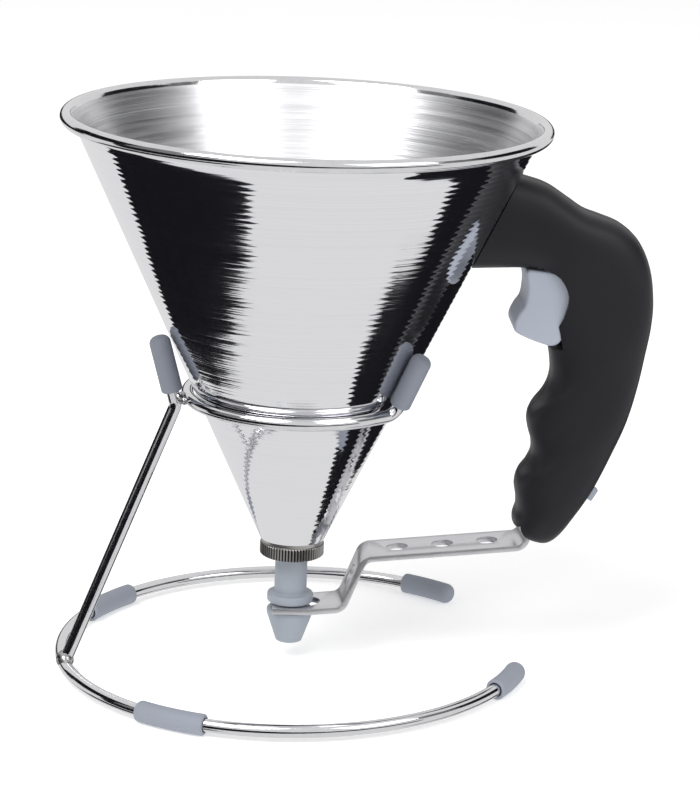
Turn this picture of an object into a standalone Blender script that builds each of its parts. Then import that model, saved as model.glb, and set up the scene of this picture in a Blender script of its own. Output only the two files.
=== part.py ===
"""Piston funnel: a steel bowl with a trigger handle, standing in a bent wire stand.

Lengths are metres and +Z is up. The handle points along +X. The origin is the middle of the
footprint, on the surface that the stand's rubber feet rest on.
"""

import math

import bmesh
import bpy
from mathutils import Matrix, Quaternion, Vector

# Bowl
RIM_RADIUS = 0.0750
RIM_HEIGHT = 0.1723
BEAD_RADIUS = 0.0020
OUTLET_RADIUS = 0.0101
OUTLET_LEVEL = 0.0396
BOWL_WALL = 0.0008
BEAD_START = math.radians(-140)
BEAD_SWEEP = math.radians(290)
bead_overhang_share = 1.65
wall_shares = (0.25, 0.5, 0.75)

# Clearances
FIT_GAP = 0.0003
SLIDE_GAP = 0.0004
CUT_OVERRUN = 0.0030

# Outlet fittings, from the nut down to the tip of the nozzle
NUT_HEIGHT = 0.0056
NUT_LIP = 0.0012
TOOTH_DEPTH = 0.0004
TOOTH_COUNT = 36
FERRULE_BORE = 0.0072
FERRULE_WALL = 0.0009
FERRULE_RISE = 0.0064
SEAL_HEIGHT = 0.0015
BUSH_LENGTH = 0.0069
TUBE_RADIUS = 0.0051
TUBE_BORE = 0.0033
TUBE_CROWN = 0.0094
crown_shares = ((0.88, 0.5), (0.55, 0.87))
PORT_HEIGHT = 0.0050
PORT_WIDTH = 0.0044
FLANGE_RADIUS = 0.0073
FLANGE_HEIGHT = 0.0029
NECK_RADIUS = 0.0042
SOCKET_DEPTH = 0.0072
TIP_LENGTH = 0.0107
TIP_BAND = 0.0015
TIP_MOUTH_RADIUS = 0.00415
TIP_CLEARANCE = 0.0055

# Lifter strip
STRIP_THICKNESS = 0.0018
STRIP_WIDTH = 0.0165
STRIP_BEND = 0.0040
FORK_REACH = 0.0057
FORK_SLOT_END = 0.0095
FORK_FLAT = 0.0062
RISER_START = 0.0163
RISER_RUN = 0.00635
STRIP_HOLE_RADIUS = 0.0034
STRIP_SLOPE = math.radians(5.8)
STROKE = 0.0050

# Handle, whose outline follows these four sizes
HANDLE_STANDOFF = 0.0072
HANDLE_REACH = 0.0502
HANDLE_HEIGHT = 0.1159
HANDLE_WIDTH = 0.0260
HANDLE_DROP = 0.0148
HANDLE_CLEARANCE = 0.0012
SHELL_SEAM = 0.0003

# Trigger and what it carries
TRIGGER_WIDTH = 0.0186
TRIGGER_EDGE = 0.0013
EDGE_ANGLE = math.radians(50)
EAR_WIDTH = 0.0120
EAR_RADIUS = 0.0040
TAIL_WIDTH = 0.0050
TAIL_THICKNESS = 0.0030
TAIL_OVERRUN = 0.0028
PIN_RADIUS = 0.0015
PIN_SEAT = 0.0028
SPRING_RADIUS = 0.0036
SPRING_WIRE = 0.0004
SPRING_TURNS = 6
SPRING_TAB_LENGTH = 0.0088

# Handle fastenings
SCREW_RADIUS = 0.0014
SCREW_HEAD_RADIUS = 0.0028
SCREW_HEAD_HEIGHT = 0.0018
SCREW_HEAD_SEAT = 0.0055
SCREW_REACH = 0.0065
screw_point_share = 0.6
BRACKET_PLATE = 0.0015
BRACKET_WIDTH = 0.0160
TONGUE_THICKNESS = 0.0018

# Stroke slide in the back of the grip
SLIDE_LENGTH = 0.0040
SLIDE_NECK = 0.0034
SLIDE_BODY_WIDTH = 0.0066
SLIDE_BODY_DEPTH = 0.0024
SLIDE_LIP = 0.0020
SLIDE_KNOB = 0.0024
SLIDE_TRAVEL = 0.0080

# Wire stand
WIRE_RADIUS = 0.0020
SLEEVE_RADIUS = 0.0033
SLEEVE_SIDES = 12
BASE_RADIUS = 0.0732
CRADLE_LEVEL = 0.0861
CRADLE_POST = 0.0180
CRADLE_BEND = 0.0042
LEG_TOP = 0.1040
CAP_WALL = 0.0015
CAP_LENGTH = 0.0160
BASE_OPENING = math.radians(31.5)
CRADLE_OPENING = math.radians(47.4)
FOOT_PLACE = math.radians(133)
FOOT_SPAN = math.radians(18)
FOOT_CAP_SPAN = math.radians(13.5)

# How the object stands in use
LEAN = math.radians(1.54)
LEAN_LEVEL = 0.0450
STAND_TURN = math.radians(11.6)

# Facets
RING_STEPS = 64
BORE_STEPS = 32
HIDDEN_STEPS = 24
PIN_STEPS = 20
SCREW_STEPS = 16
BEAD_STEPS = 8
COIL_STEPS = 10
COIL_SIDES = 5
WIRE_SIDES = 10
ARC_STEPS = 5
RING_STEP = math.radians(6)
HANDLE_STATIONS = 42
HANDLE_SECTION_STEPS = 11
SHARP_ANGLE = math.radians(35)

# Outline of the handle in side view: share of the way along it, then shares of its reach and height
front_shares = (
    (0, -0.373, 0.748), (0.06, -0.102, 0.754), (0.12, 0.04, 0.757), (0.18, 0.166, 0.759),
    (0.23, 0.26, 0.752), (0.27, 0.31, 0.721), (0.32, 0.335, 0.664), (0.38, 0.347, 0.603),
    (0.44, 0.367, 0.548), (0.475, 0.387, 0.505), (0.51, 0.393, 0.465), (0.545, 0.373, 0.427),
    (0.57, 0.333, 0.394), (0.595, 0.284, 0.367), (0.625, 0.264, 0.339), (0.655, 0.276, 0.306),
    (0.685, 0.298, 0.275), (0.715, 0.3, 0.242), (0.745, 0.266, 0.207), (0.775, 0.224, 0.181),
    (0.805, 0.21, 0.15), (0.835, 0.224, 0.114), (0.865, 0.226, 0.086), (0.895, 0.21, 0.06),
    (0.93, 0.218, 0.034), (0.965, 0.252, 0.014), (0.99, 0.317, 0.004), (1, 0.369, -0),
)
back_shares = (
    (0, -0.182, 1.041), (0.06, 0.16, 1), (0.12, 0.308, 0.98), (0.18, 0.439, 0.945),
    (0.23, 0.547, 0.915), (0.27, 0.646, 0.9), (0.32, 0.772, 0.879), (0.38, 0.891, 0.835),
    (0.44, 0.967, 0.766), (0.51, 1.001, 0.681), (0.57, 0.999, 0.608), (0.625, 0.977, 0.537),
    (0.685, 0.939, 0.437), (0.745, 0.885, 0.341), (0.805, 0.806, 0.253), (0.865, 0.71, 0.16),
    (0.895, 0.654, 0.117), (0.93, 0.589, 0.073), (0.965, 0.527, 0.033), (0.99, 0.469, 0.007),
    (1, 0.423, 0.001),
)
# Share of the way along the handle, share of its width, and how square its section is
section_shares = (
    (0, 0.90, 3.2), (0.2, 0.90, 3.2), (0.3, 0.93, 3.2), (0.45, 0.93, 3.0), (0.6, 0.97, 2.8),
    (0.75, 1, 2.6), (0.88, 1, 2.6), (0.93, 0.96, 2.5), (0.965, 0.85, 2.4), (0.99, 0.66, 2.3),
    (1, 0.5, 2.2),
)
# The parts inside the handle lie on shares of the same reach and height
trigger_shares = (
    (0.196, 0.758), (0.274, 0.76), (0.354, 0.759), (0.426, 0.748), (0.475, 0.725), (0.501, 0.693),
    (0.501, 0.664), (0.489, 0.63), (0.463, 0.595), (0.418, 0.566), (0.374, 0.557), (0.328, 0.56),
    (0.226, 0.575), (0.149, 0.591), (0.133, 0.604), (0.137, 0.621), (0.162, 0.645), (0.194, 0.668),
    (0.204, 0.711),
)
mouth_shares = (
    (0.032, 0.761), (0.192, 0.762), (0.246, 0.765), (0.32, 0.762), (0.364, 0.755), (0.396, 0.745),
    (0.423, 0.73), (0.445, 0.712), (0.457, 0.695), (0.457, 0.676), (0.447, 0.658), (0.433, 0.635),
    (0.41, 0.614), (0.382, 0.593), (0.361, 0.573), (0.341, 0.561), (0.312, 0.546), (0.032, 0.539),
)
trigger_room_shares = (
    (0.04, 0.544), (0.388, 0.543), (0.552, 0.559), (0.616, 0.592), (0.616, 0.739), (0.57, 0.77),
    (0.269, 0.771), (0.247, 0.765), (0.04, 0.762),
)
ear_room_shares = ((0.245, 0.753), (0.46, 0.753), (0.46, 0.835), (0.245, 0.835))
pivot_share = (0.337, 0.792)
strip_entry_share = 0.293
strip_knee_share = 0.064
strip_shaft_share = (0.677, 0.288)
strip_top_share = 0.814
spring_tab_share = 0.568
spring_ceiling_share = 0.706
arm_screw_share = (0.315, 0.892)
shoulder_screw_share = (0.829, 0.807)
grip_screw_share = (0.781, 0.374)
pad_shares = (0.788, 0.961)
tongue_shares = (0.432, 0.851, 0.933)
slide_share = (0.677, 0.134)
slide_slope_share = (0.492, 0.870)
strip_hole_shares = (0.208, 0.489, 0.766)
riser_hole_share = 0.535

# Worked-out levels and places
tip_top = TIP_CLEARANCE + TIP_LENGTH
flange_bottom = tip_top + FIT_GAP + STRIP_THICKNESS + FIT_GAP
fork_level = tip_top + FIT_GAP + STRIP_THICKNESS / 2
nut_top = OUTLET_LEVEL
nut_bottom = nut_top - NUT_HEIGHT
bowl_bottom = nut_top + FIT_GAP
bowl_slope = (RIM_RADIUS - BEAD_RADIUS * bead_overhang_share - OUTLET_RADIUS) / (
    RIM_HEIGHT - OUTLET_LEVEL)
bowl_lean = math.atan(bowl_slope)
handle_floor = RIM_HEIGHT - HANDLE_DROP - HANDLE_HEIGHT
entry_level = handle_floor - HANDLE_CLEARANCE
strip_half = STRIP_WIDTH / 2 + FIT_GAP
base_level = SLEEVE_RADIUS * math.cos(math.pi / SLEEVE_SIDES)
wire_bore = WIRE_RADIUS + FIT_GAP


def bowl_radius(level):
    """Outer radius of the cone at a height."""
    return OUTLET_RADIUS + (level - OUTLET_LEVEL) * bowl_slope


handle_start = bowl_radius(handle_floor + HANDLE_HEIGHT * front_shares[1][2]) + HANDLE_STANDOFF


def on_handle(reach_share, height_share):
    """Distance from the funnel's axis and height of a place on the handle."""
    return (handle_start + HANDLE_REACH * reach_share, handle_floor + HANDLE_HEIGHT * height_share)


def material(name, colour, roughness, metallic=0.0):
    """A plain surface for one sub-part."""
    surface = bpy.data.materials.new(name)
    surface.use_nodes = True
    shader = surface.node_tree.nodes["Principled BSDF"]
    shader.inputs["Base Color"].default_value = (*colour, 1.0)
    shader.inputs["Roughness"].default_value = roughness
    shader.inputs["Metallic"].default_value = metallic
    surface.diffuse_color = (*colour, 1.0)
    return surface


def empty(name, parent=None, place=(0, 0, 0)):
    """A named frame that pieces hang from."""
    frame = bpy.data.objects.new(name, None)
    frame.location = place
    frame.parent = parent
    bpy.context.collection.objects.link(frame)
    return frame


def solid(name, rings, surface, parent, looped=False):
    """Close rings of points into one body. A ring of one point is a pole."""
    shape = bmesh.new()
    rows = [[shape.verts.new(point) for point in ring] for ring in rings]
    pairs = list(zip(rows, rows[1:]))
    if looped:
        pairs.append((rows[-1], rows[0]))
    for lower, upper in pairs:
        count = max(len(lower), len(upper))
        for index in range(count):
            after = (index + 1) % count
            corners = (lower[index % len(lower)], lower[after % len(lower)],
                       upper[after % len(upper)], upper[index % len(upper)])
            shape.faces.new(list(dict.fromkeys(corners)))
    if not looped:
        for row in (rows[0], rows[-1]):
            if len(row) > 2:
                shape.faces.new(row)
    bmesh.ops.recalc_face_normals(shape, faces=shape.faces)
    mesh = bpy.data.meshes.new(name)
    shape.to_mesh(mesh)
    shape.free()
    mesh.shade_smooth()
    mesh.set_sharp_from_angle(angle=SHARP_ANGLE)
    if surface:
        mesh.materials.append(surface)
    piece = bpy.data.objects.new(name, mesh)
    piece.parent = parent
    bpy.context.collection.objects.link(piece)
    return piece


def combine(target, tool, operation="DIFFERENCE"):
    """Cut, join or intersect a piece with a hidden tool body."""
    change = target.modifiers.new(tool.name, "BOOLEAN")
    change.operation = operation
    change.object = tool
    change.solver = "EXACT"
    tool.hide_render = True
    tool.display_type = "WIRE"


def circle(radius, level, steps, dip=0.0):
    """A ring about the vertical axis, or its pole. Every other point may dip inwards."""
    if radius == 0:
        return [Vector((0, 0, level))]
    ring = []
    for step in range(steps):
        angle = 2 * math.pi * step / steps
        reach = radius - dip * (step % 2)
        ring.append(Vector((reach * math.cos(angle), reach * math.sin(angle), level)))
    return ring


def turned(name, profile, surface, parent, steps=BORE_STEPS, toothed=()):
    """Spin a closed profile of (radius, height) points about the vertical axis."""
    rings = [circle(radius, level, steps, TOOTH_DEPTH if index in toothed else 0.0)
             for index, (radius, level) in enumerate(profile)]
    return solid(name, rings, surface, parent, looped=len(rings[0]) > 1)


def prism(name, outline, depth, surface, parent):
    """Push a flat outline of points along a vector."""
    far = [point + depth for point in outline]
    return solid(name, [outline, far], surface, parent)


def side_prism(name, outline, width, surface=None, parent=None):
    """Push an outline in the handle's middle plane out to half the width each way."""
    near = [Vector((across, -width / 2, level)) for across, level in outline]
    return prism(name, near, Vector((0, width, 0)), surface, parent)


def side_box(name, low, high, width, parent):
    """A box between two corners in the handle's middle plane."""
    outline = ((low[0], low[1]), (high[0], low[1]), (high[0], high[1]), (low[0], high[1]))
    return side_prism(name, outline, width, None, parent)


def rod(name, start, end, radius, surface, parent, steps=BORE_STEPS):
    """A straight round bar between two points."""
    return solid(name, tube_rings([start, end], [radius, radius], steps), surface, parent)


def eased(points, radius, steps=ARC_STEPS):
    """Round the corners of a route with arcs."""
    route = [points[0]]
    for before, corner, after in zip(points, points[1:], points[2:]):
        inward = (corner - before).normalized()
        outward = (after - corner).normalized()
        bend = inward.angle(outward)
        start = corner - inward * radius * math.tan(bend / 2)
        middle = corner + (outward - inward).normalized() * radius / math.cos(bend / 2)
        axis = inward.cross(outward)
        for step in range(steps + 1):
            route.append(middle + Quaternion(axis, bend * step / steps) @ (start - middle))
    route.append(points[-1])
    return route


def tube_rings(route, radii, sides, first_side=None):
    """Rings square to a route, carried along it without twist."""
    directions = []
    for index in range(len(route)):
        before = route[max(index - 1, 0)]
        after = route[min(index + 1, len(route) - 1)]
        directions.append((after - before).normalized())
    side = first_side or directions[0].orthogonal()
    rings = []
    for point, direction, radius in zip(route, directions, radii):
        side = (side - direction * side.dot(direction)).normalized()
        other = direction.cross(side)
        if radius == 0:
            rings.append([point])
            continue
        ring = []
        for step in range(sides):
            angle = 2 * math.pi * (step + 0.5) / sides
            ring.append(point + (side * math.cos(angle) + other * math.sin(angle)) * radius)
        rings.append(ring)
    return rings


def wire(name, route, surface, parent, first_side=None):
    """A round wire along a route."""
    rings = tube_rings(route, [WIRE_RADIUS] * len(route), WIRE_SIDES, first_side)
    return solid(name, rings, surface, parent)


def sleeve(name, route, surface, parent, first_side):
    """A rubber tube open at both ends, slid over a wire."""
    count = len(route)
    shoulder = SLEEVE_RADIUS - WIRE_RADIUS
    outside = [SLEEVE_RADIUS] * count
    outside[0] -= shoulder / 3
    outside[-1] -= shoulder / 3
    outer = tube_rings(route, outside, SLEEVE_SIDES, first_side)
    inner = tube_rings(route, [wire_bore] * count, SLEEVE_SIDES, first_side)
    return solid(name, outer + inner[::-1], surface, parent, looped=True)


def cap(name, route, surface, parent, first_side):
    """A rubber cap over the end of a wire. The route runs from its mouth to the wire's end."""
    along = (route[-1] - route[-2]).normalized()
    stop = route[-1] + along * FIT_GAP
    end = stop + along * CAP_WALL
    bore_route = route + [stop]
    bore = tube_rings(bore_route, [wire_bore] * len(bore_route), SLEEVE_SIDES, first_side)
    skin_route = route + [stop, end]
    skin_radii = [SLEEVE_RADIUS] * (len(route) + 1) + [SLEEVE_RADIUS - CAP_WALL / 2]
    skin_radii[0] -= CAP_WALL / 3
    skin = tube_rings(skin_route, skin_radii, SLEEVE_SIDES, first_side)
    crown = end + along * CAP_WALL / 3
    return solid(name, [[stop]] + bore[::-1] + skin + [[crown]], surface, parent)


def arc_points(radius, level, start, end, step=RING_STEP):
    """Points on a level circle, from one angle to another."""
    count = max(2, math.ceil(abs(end - start) / step))
    route = []
    for index in range(count + 1):
        angle = start + (end - start) * index / count
        route.append(Vector((radius * math.cos(angle), radius * math.sin(angle), level)))
    return route


def flowing(shares, share):
    """Value of a table at a share, on a smooth curve through its rows."""
    index = 0
    while index < len(shares) - 2 and shares[index + 1][0] <= share:
        index += 1
    low, high = shares[index], shares[index + 1]
    before = shares[max(index - 1, 0)]
    after = shares[min(index + 2, len(shares) - 1)]
    span = high[0] - low[0]
    part = (share - low[0]) / span
    values = []
    for column in range(1, len(low)):
        leave = (high[column] - before[column]) / (high[0] - before[0]) * span
        reach = (after[column] - low[column]) / (after[0] - low[0]) * span
        values.append(low[column] * (2 * part**3 - 3 * part**2 + 1)
                      + leave * (part**3 - 2 * part**2 + part)
                      + high[column] * (3 * part**2 - 2 * part**3) + reach * (part**3 - part**2))
    return values


def build_base_ring(frame, steel):
    """The open ring that lies on the table."""
    route = arc_points(BASE_RADIUS, base_level, BASE_OPENING, 2 * math.pi - BASE_OPENING)
    return wire("base_ring", route, steel, frame, Vector((0, 0, 1)))


def build_feet(frame, rubber):
    """Two sleeves round the ring and a cap on each of its ends, all flat underneath."""
    up = Vector((0, 0, 1))
    for name, side in (("front", -1), ("rear", 1)):
        middle = FOOT_PLACE * side
        half = FOOT_SPAN / 2
        route = arc_points(BASE_RADIUS, base_level, middle - half, middle + half)
        sleeve("foot_sleeve_" + name, route, rubber, frame, up)
        mouth = (BASE_OPENING + FOOT_CAP_SPAN) * side
        route = arc_points(BASE_RADIUS, base_level, mouth, BASE_OPENING * side)
        cap("foot_cap_" + name, route, rubber, frame, up)


def post_route(azimuth, low, high, offset):
    """Two points of a wire that climbs the cone, its centre a set distance off the steel."""
    across = Vector((math.cos(azimuth), math.sin(azimuth), 0))
    stand_off = offset / math.cos(bowl_lean)
    return [across * (bowl_radius(level) + stand_off) + Vector((0, 0, level)) for level in (low, high)]


def build_cradle(frame, steel, rubber):
    """The open ring under the cone, with both of its ends turned up into capped posts."""
    wire_offset = WIRE_RADIUS + FIT_GAP
    cap_offset = SLEEVE_RADIUS + FIT_GAP
    radius = bowl_radius(CRADLE_LEVEL) + wire_offset / math.cos(bowl_lean)
    top = CRADLE_LEVEL + CRADLE_POST
    turn_in = CRADLE_OPENING + 2 * CRADLE_BEND / radius
    posts = {side: post_route(CRADLE_OPENING * side, CRADLE_LEVEL, top, cap_offset) for side in (-1, 1)}
    ring = arc_points(radius, CRADLE_LEVEL, turn_in, 2 * math.pi - turn_in)
    corners = [posts[1][1], posts[1][0], ring[0]]
    start = eased(corners, CRADLE_BEND)
    corners = [ring[-1], posts[-1][0], posts[-1][1]]
    end = eased(corners, CRADLE_BEND)
    wire("cradle_wire", start[:-1] + ring + end[1:], steel, frame, Vector((0, 0, 1)).cross(ring[0]))
    for name, side in (("front", -1), ("rear", 1)):
        low, high = posts[side]
        along = (high - low).normalized()
        cap("cradle_cap_" + name, [high - along * CAP_LENGTH, high], rubber, frame, low.cross(high))
    return radius


def build_leg(frame, base_frame, cradle_radius, steel, rubber):
    """The single leg: coped onto the base ring, welded behind the cradle, capped at its top."""
    reach = cradle_radius + WIRE_RADIUS + FIT_GAP + WIRE_RADIUS
    top_reach = bowl_radius(LEG_TOP) + (SLEEVE_RADIUS + FIT_GAP) / math.cos(bowl_lean)
    top = Vector((-top_reach, 0, LEG_TOP))
    bend = Vector((-reach, 0, CRADLE_LEVEL - WIRE_RADIUS))
    foot = frame.matrix_basis.inverted() @ base_frame.matrix_basis @ Vector((-BASE_RADIUS, 0, base_level))
    route = eased([foot, bend, top], CRADLE_BEND)
    leg = wire("support_leg", route, steel, frame, Vector((0, 1, 0)))
    half = FOOT_SPAN / 2
    bed = arc_points(BASE_RADIUS, base_level, math.pi - half, math.pi + half)
    rings = tube_rings(bed, [wire_bore] * len(bed), WIRE_SIDES, Vector((0, 0, 1)))
    combine(leg, solid("leg_coping", rings, None, base_frame))
    along = (route[-1] - route[-2]).normalized()
    cap("cradle_cap_leg", [top - along * CAP_LENGTH, top], rubber, frame, Vector((0, 1, 0)))


def build_bowl(frame, steel):
    """The spun cone with its rolled rim."""
    inset = BOWL_WALL / math.cos(bowl_lean)
    bead_middle = RIM_RADIUS - BEAD_RADIUS
    profile = [(bowl_radius(bowl_bottom) - inset, bowl_bottom), (bowl_radius(bowl_bottom), bowl_bottom)]
    for share in wall_shares:
        level = bowl_bottom + (RIM_HEIGHT - bowl_bottom) * share
        profile.append((bowl_radius(level), level))
    for step in range(BEAD_STEPS + 1):
        angle = BEAD_START + BEAD_SWEEP * step / BEAD_STEPS
        profile.append((bead_middle + BEAD_RADIUS * math.cos(angle),
                        RIM_HEIGHT + BEAD_RADIUS * math.sin(angle)))
    profile.append((bowl_radius(RIM_HEIGHT) - inset, RIM_HEIGHT))
    for share in wall_shares[::-1]:
        level = bowl_bottom + (RIM_HEIGHT - bowl_bottom) * share
        profile.append((bowl_radius(level) - inset, level))
    return turned("cone_shell", profile, steel, frame, RING_STEPS)


def build_outlet(frame, steel, rubber, plastic):
    """The threaded ferrule in the cone's mouth, its nut, and the bush and seal that the nut holds."""
    lip_top = nut_bottom + NUT_LIP
    ferrule_bottom = lip_top + FIT_GAP
    ferrule_radius = FERRULE_BORE + FERRULE_WALL
    ferrule_top = bowl_bottom + FERRULE_RISE
    skin = (BOWL_WALL + FIT_GAP) / math.cos(bowl_lean)
    flare_level = bowl_bottom + (ferrule_radius + skin - bowl_radius(bowl_bottom)) / bowl_slope
    flare_level = max(flare_level, bowl_bottom) + FIT_GAP
    turned("outlet_ferrule", [
        (FERRULE_BORE, ferrule_bottom), (ferrule_radius, ferrule_bottom), (ferrule_radius, bowl_bottom),
        (bowl_radius(flare_level) - skin, flare_level), (bowl_radius(ferrule_top) - skin, ferrule_top),
        (FERRULE_BORE + FERRULE_WALL / 3, ferrule_top - FERRULE_WALL)], steel, frame)
    inner = TUBE_RADIUS + FIT_GAP
    outer = FERRULE_BORE - FIT_GAP
    seal_top = ferrule_bottom + SEAL_HEIGHT
    edge = SEAL_HEIGHT / 4
    turned("seal_ring", [
        (inner, ferrule_bottom + edge), (inner + edge, ferrule_bottom), (outer - edge, ferrule_bottom),
        (outer, ferrule_bottom + edge), (outer, seal_top - edge), (outer - edge, seal_top),
        (inner + edge, seal_top), (inner, seal_top - edge)], rubber, frame, HIDDEN_STEPS)
    bush_bottom = seal_top + FIT_GAP
    bush_top = bush_bottom + BUSH_LENGTH
    turned("valve_bush", [
        (inner, bush_bottom), (outer, bush_bottom), (outer, bush_top - edge), (outer - edge, bush_top),
        (inner + edge, bush_top), (inner, bush_top - edge)], plastic, frame, HIDDEN_STEPS)
    thread = ferrule_radius + FIT_GAP
    bevel = NUT_HEIGHT / 8
    build_nut(frame, steel, thread, lip_top, bevel)


def build_nut(frame, steel, thread, lip_top, bevel):
    """The knurled nut under the cone."""
    profile = [
        (thread, lip_top), (inner_lip(), lip_top), (inner_lip(), nut_bottom),
        (OUTLET_RADIUS - 2 * bevel, nut_bottom), (OUTLET_RADIUS - bevel, nut_bottom + bevel / 3),
        (OUTLET_RADIUS, nut_bottom + bevel), (OUTLET_RADIUS, nut_top - 2 * bevel),
        (OUTLET_RADIUS - bevel, nut_top - bevel), (OUTLET_RADIUS - bevel, nut_top), (thread, nut_top)]
    turned("knurled_nut", profile, steel, frame, 2 * TOOTH_COUNT, toothed=(5, 6))


def inner_lip():
    """Radius of the hole in the nut's lip, which the piston tube slides through."""
    return TUBE_RADIUS + SLIDE_GAP


def build_piston(frame, plastic):
    """The lifting tube with side ports, and the nozzle tip screwed on under its neck."""
    spigot_bottom = tip_top - SOCKET_DEPTH
    flange_top = flange_bottom + FLANGE_HEIGHT
    round_off = FLANGE_HEIGHT / 4
    crown = bowl_bottom + TUBE_CROWN
    shoulder = crown - TUBE_RADIUS / 2
    bore_top = shoulder - TUBE_BORE / 3
    tube = turned("piston_tube", [
        (0, bore_top), (TUBE_BORE, bore_top), (TUBE_BORE, spigot_bottom), (NECK_RADIUS, spigot_bottom),
        (NECK_RADIUS, flange_bottom), (FLANGE_RADIUS - round_off, flange_bottom),
        (FLANGE_RADIUS, flange_bottom + round_off), (FLANGE_RADIUS, flange_top - round_off),
        (FLANGE_RADIUS - round_off, flange_top), (TUBE_RADIUS, flange_top), (TUBE_RADIUS, shoulder),
        *[(TUBE_RADIUS * across, shoulder + (crown - shoulder) * up) for across, up in crown_shares],
        (0, crown)], plastic, frame)
    port_top = bowl_bottom + BUSH_LENGTH / 2
    low = Vector((-PORT_WIDTH / 2, -TUBE_RADIUS - CUT_OVERRUN, port_top - PORT_HEIGHT))
    outline = [low, low + Vector((PORT_WIDTH, 0, 0)), low + Vector((PORT_WIDTH, 0, PORT_HEIGHT)),
               low + Vector((0, 0, PORT_HEIGHT))]
    combine(tube, prism("port_cut", outline, Vector((0, -2 * low.y, 0)), None, frame))
    socket = NECK_RADIUS + FIT_GAP
    socket_bottom = spigot_bottom - FIT_GAP
    round_off = TIP_BAND / 3
    turned("nozzle_tip", [
        (socket, tip_top), (FLANGE_RADIUS - round_off, tip_top), (FLANGE_RADIUS, tip_top - round_off),
        (FLANGE_RADIUS, tip_top - TIP_BAND), (TIP_MOUTH_RADIUS, TIP_CLEARANCE + TIP_BAND),
        (TIP_MOUTH_RADIUS - round_off, TIP_CLEARANCE), (TUBE_BORE, TIP_CLEARANCE),
        (TUBE_BORE, socket_bottom), (socket, socket_bottom)], plastic, frame)


def strip_corners():
    """Corners of the strip's middle line: fork tip, fork bend, riser, entry, knee, shaft and top."""
    climb = math.tan(STRIP_SLOPE)
    riser_end = RISER_START + RISER_RUN
    entry = on_handle(strip_entry_share, 0)[0]
    knee_level = on_handle(0, strip_knee_share)[1]
    shaft, shaft_level = on_handle(*strip_shaft_share)
    top = on_handle(0, strip_top_share)[1]
    places = ((-FORK_REACH, fork_level), (FORK_FLAT, fork_level),
              (RISER_START, fork_level + (RISER_START - FORK_FLAT) * climb),
              (riser_end, entry_level - (entry - riser_end) * climb), (entry, entry_level),
              (entry, knee_level), (shaft, shaft_level), (shaft, top))
    return [Vector((across, 0, level)) for across, level in places]


def offset_line(route, distance):
    """The route moved sideways in the handle's middle plane."""
    moved = []
    for index, point in enumerate(route):
        along = (route[min(index + 1, len(route) - 1)] - route[max(index - 1, 0)]).normalized()
        moved.append(point + Vector((-along.z, 0, along.x)) * distance)
    return moved


def flat(points):
    """Drop the sideways coordinate of points in the handle's middle plane."""
    return [(point.x, point.z) for point in points]


def build_strip(frame, steel):
    """The bent steel strip that the trigger lifts the piston tube with."""
    corners = strip_corners()
    route = eased(corners, STRIP_BEND)
    half = STRIP_THICKNESS / 2
    outline = flat(offset_line(route, half) + offset_line(route, -half)[::-1])
    strip = side_prism("lifter_strip", outline, STRIP_WIDTH, steel, frame)
    drop = Vector((0, 0, STRIP_THICKNESS + CUT_OVERRUN))
    slot_radius = NECK_RADIUS + FIT_GAP
    slot = [Vector((-FORK_REACH - CUT_OVERRUN, slot_radius, fork_level - drop.z / 2))]
    middle = FORK_SLOT_END - slot_radius
    steps = 2 * ARC_STEPS
    for step in range(steps + 1):
        angle = math.pi / 2 - math.pi * step / steps
        slot.append(Vector((middle + slot_radius * math.cos(angle), slot_radius * math.sin(angle),
                            slot[0].z)))
    slot.append(Vector((slot[0].x, -slot_radius, slot[0].z)))
    combine(strip, prism("fork_slot", slot, drop, None, frame))
    low, riser_end, entry, top = corners[2], corners[3], corners[4], corners[-1]
    for index, share in enumerate(strip_hole_shares):
        place = riser_end.lerp(entry, share)
        hole = rod("strip_hole_%d" % index, place - drop, place + drop, STRIP_HOLE_RADIUS, None, frame,
                   PIN_STEPS)
        combine(strip, hole)
    riser = riser_end - low
    across = Vector((-riser.z, 0, riser.x)).normalized() * drop.z
    place = low.lerp(riser_end, riser_hole_share)
    hole = rod("riser_hole", place - across, place + across, STRIP_HOLE_RADIUS, None, frame, PIN_STEPS)
    combine(strip, hole)
    pivot = on_handle(*pivot_share)
    middle = (top.x, pivot[1] - STROKE / 2)
    reach = STRIP_THICKNESS + CUT_OVERRUN
    half_height = TAIL_THICKNESS / 2 + 2 * SLIDE_GAP
    window = side_box("tail_window", (middle[0] - reach, middle[1] - half_height),
                      (middle[0] + reach, middle[1] + half_height), TAIL_WIDTH + 2 * SLIDE_GAP, frame)
    combine(strip, window)
    tab_level = on_handle(0, spring_tab_share)[1]
    tab = side_box("spring_tab", (top.x, tab_level - half),
                   (top.x + half + SPRING_TAB_LENGTH, tab_level + half), 2 * SPRING_RADIUS, frame)
    combine(strip, tab, "UNION")


def build_spring(frame, steel):
    """The compression spring between the strip's tab and the roof of its pocket."""
    shaft = strip_corners()[-1].x
    middle = shaft + STRIP_THICKNESS / 2 + SPRING_TAB_LENGTH / 2
    floor = on_handle(0, spring_tab_share)[1] + STRIP_THICKNESS / 2 + FIT_GAP + SPRING_WIRE
    roof = on_handle(0, spring_ceiling_share)[1] - FIT_GAP - SPRING_WIRE
    coil_radius = SPRING_RADIUS - SPRING_WIRE
    count = SPRING_TURNS * COIL_STEPS
    route = []
    for index in range(count + 1):
        share = index / count
        angle = 2 * math.pi * SPRING_TURNS * share
        route.append(Vector((middle + coil_radius * math.cos(angle), coil_radius * math.sin(angle),
                             floor + (roof - floor) * share)))
    rings = tube_rings(route, [SPRING_WIRE] * len(route), COIL_SIDES, Vector((0, 0, 1)))
    solid("return_spring", rings, steel, frame)


def tail_angle():
    """Half of the trigger's swing: its tail starts this far below level and ends as far above."""
    pivot = on_handle(*pivot_share)
    return math.atan(STROKE / 2 / (strip_corners()[-1].x - pivot[0]))


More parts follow.
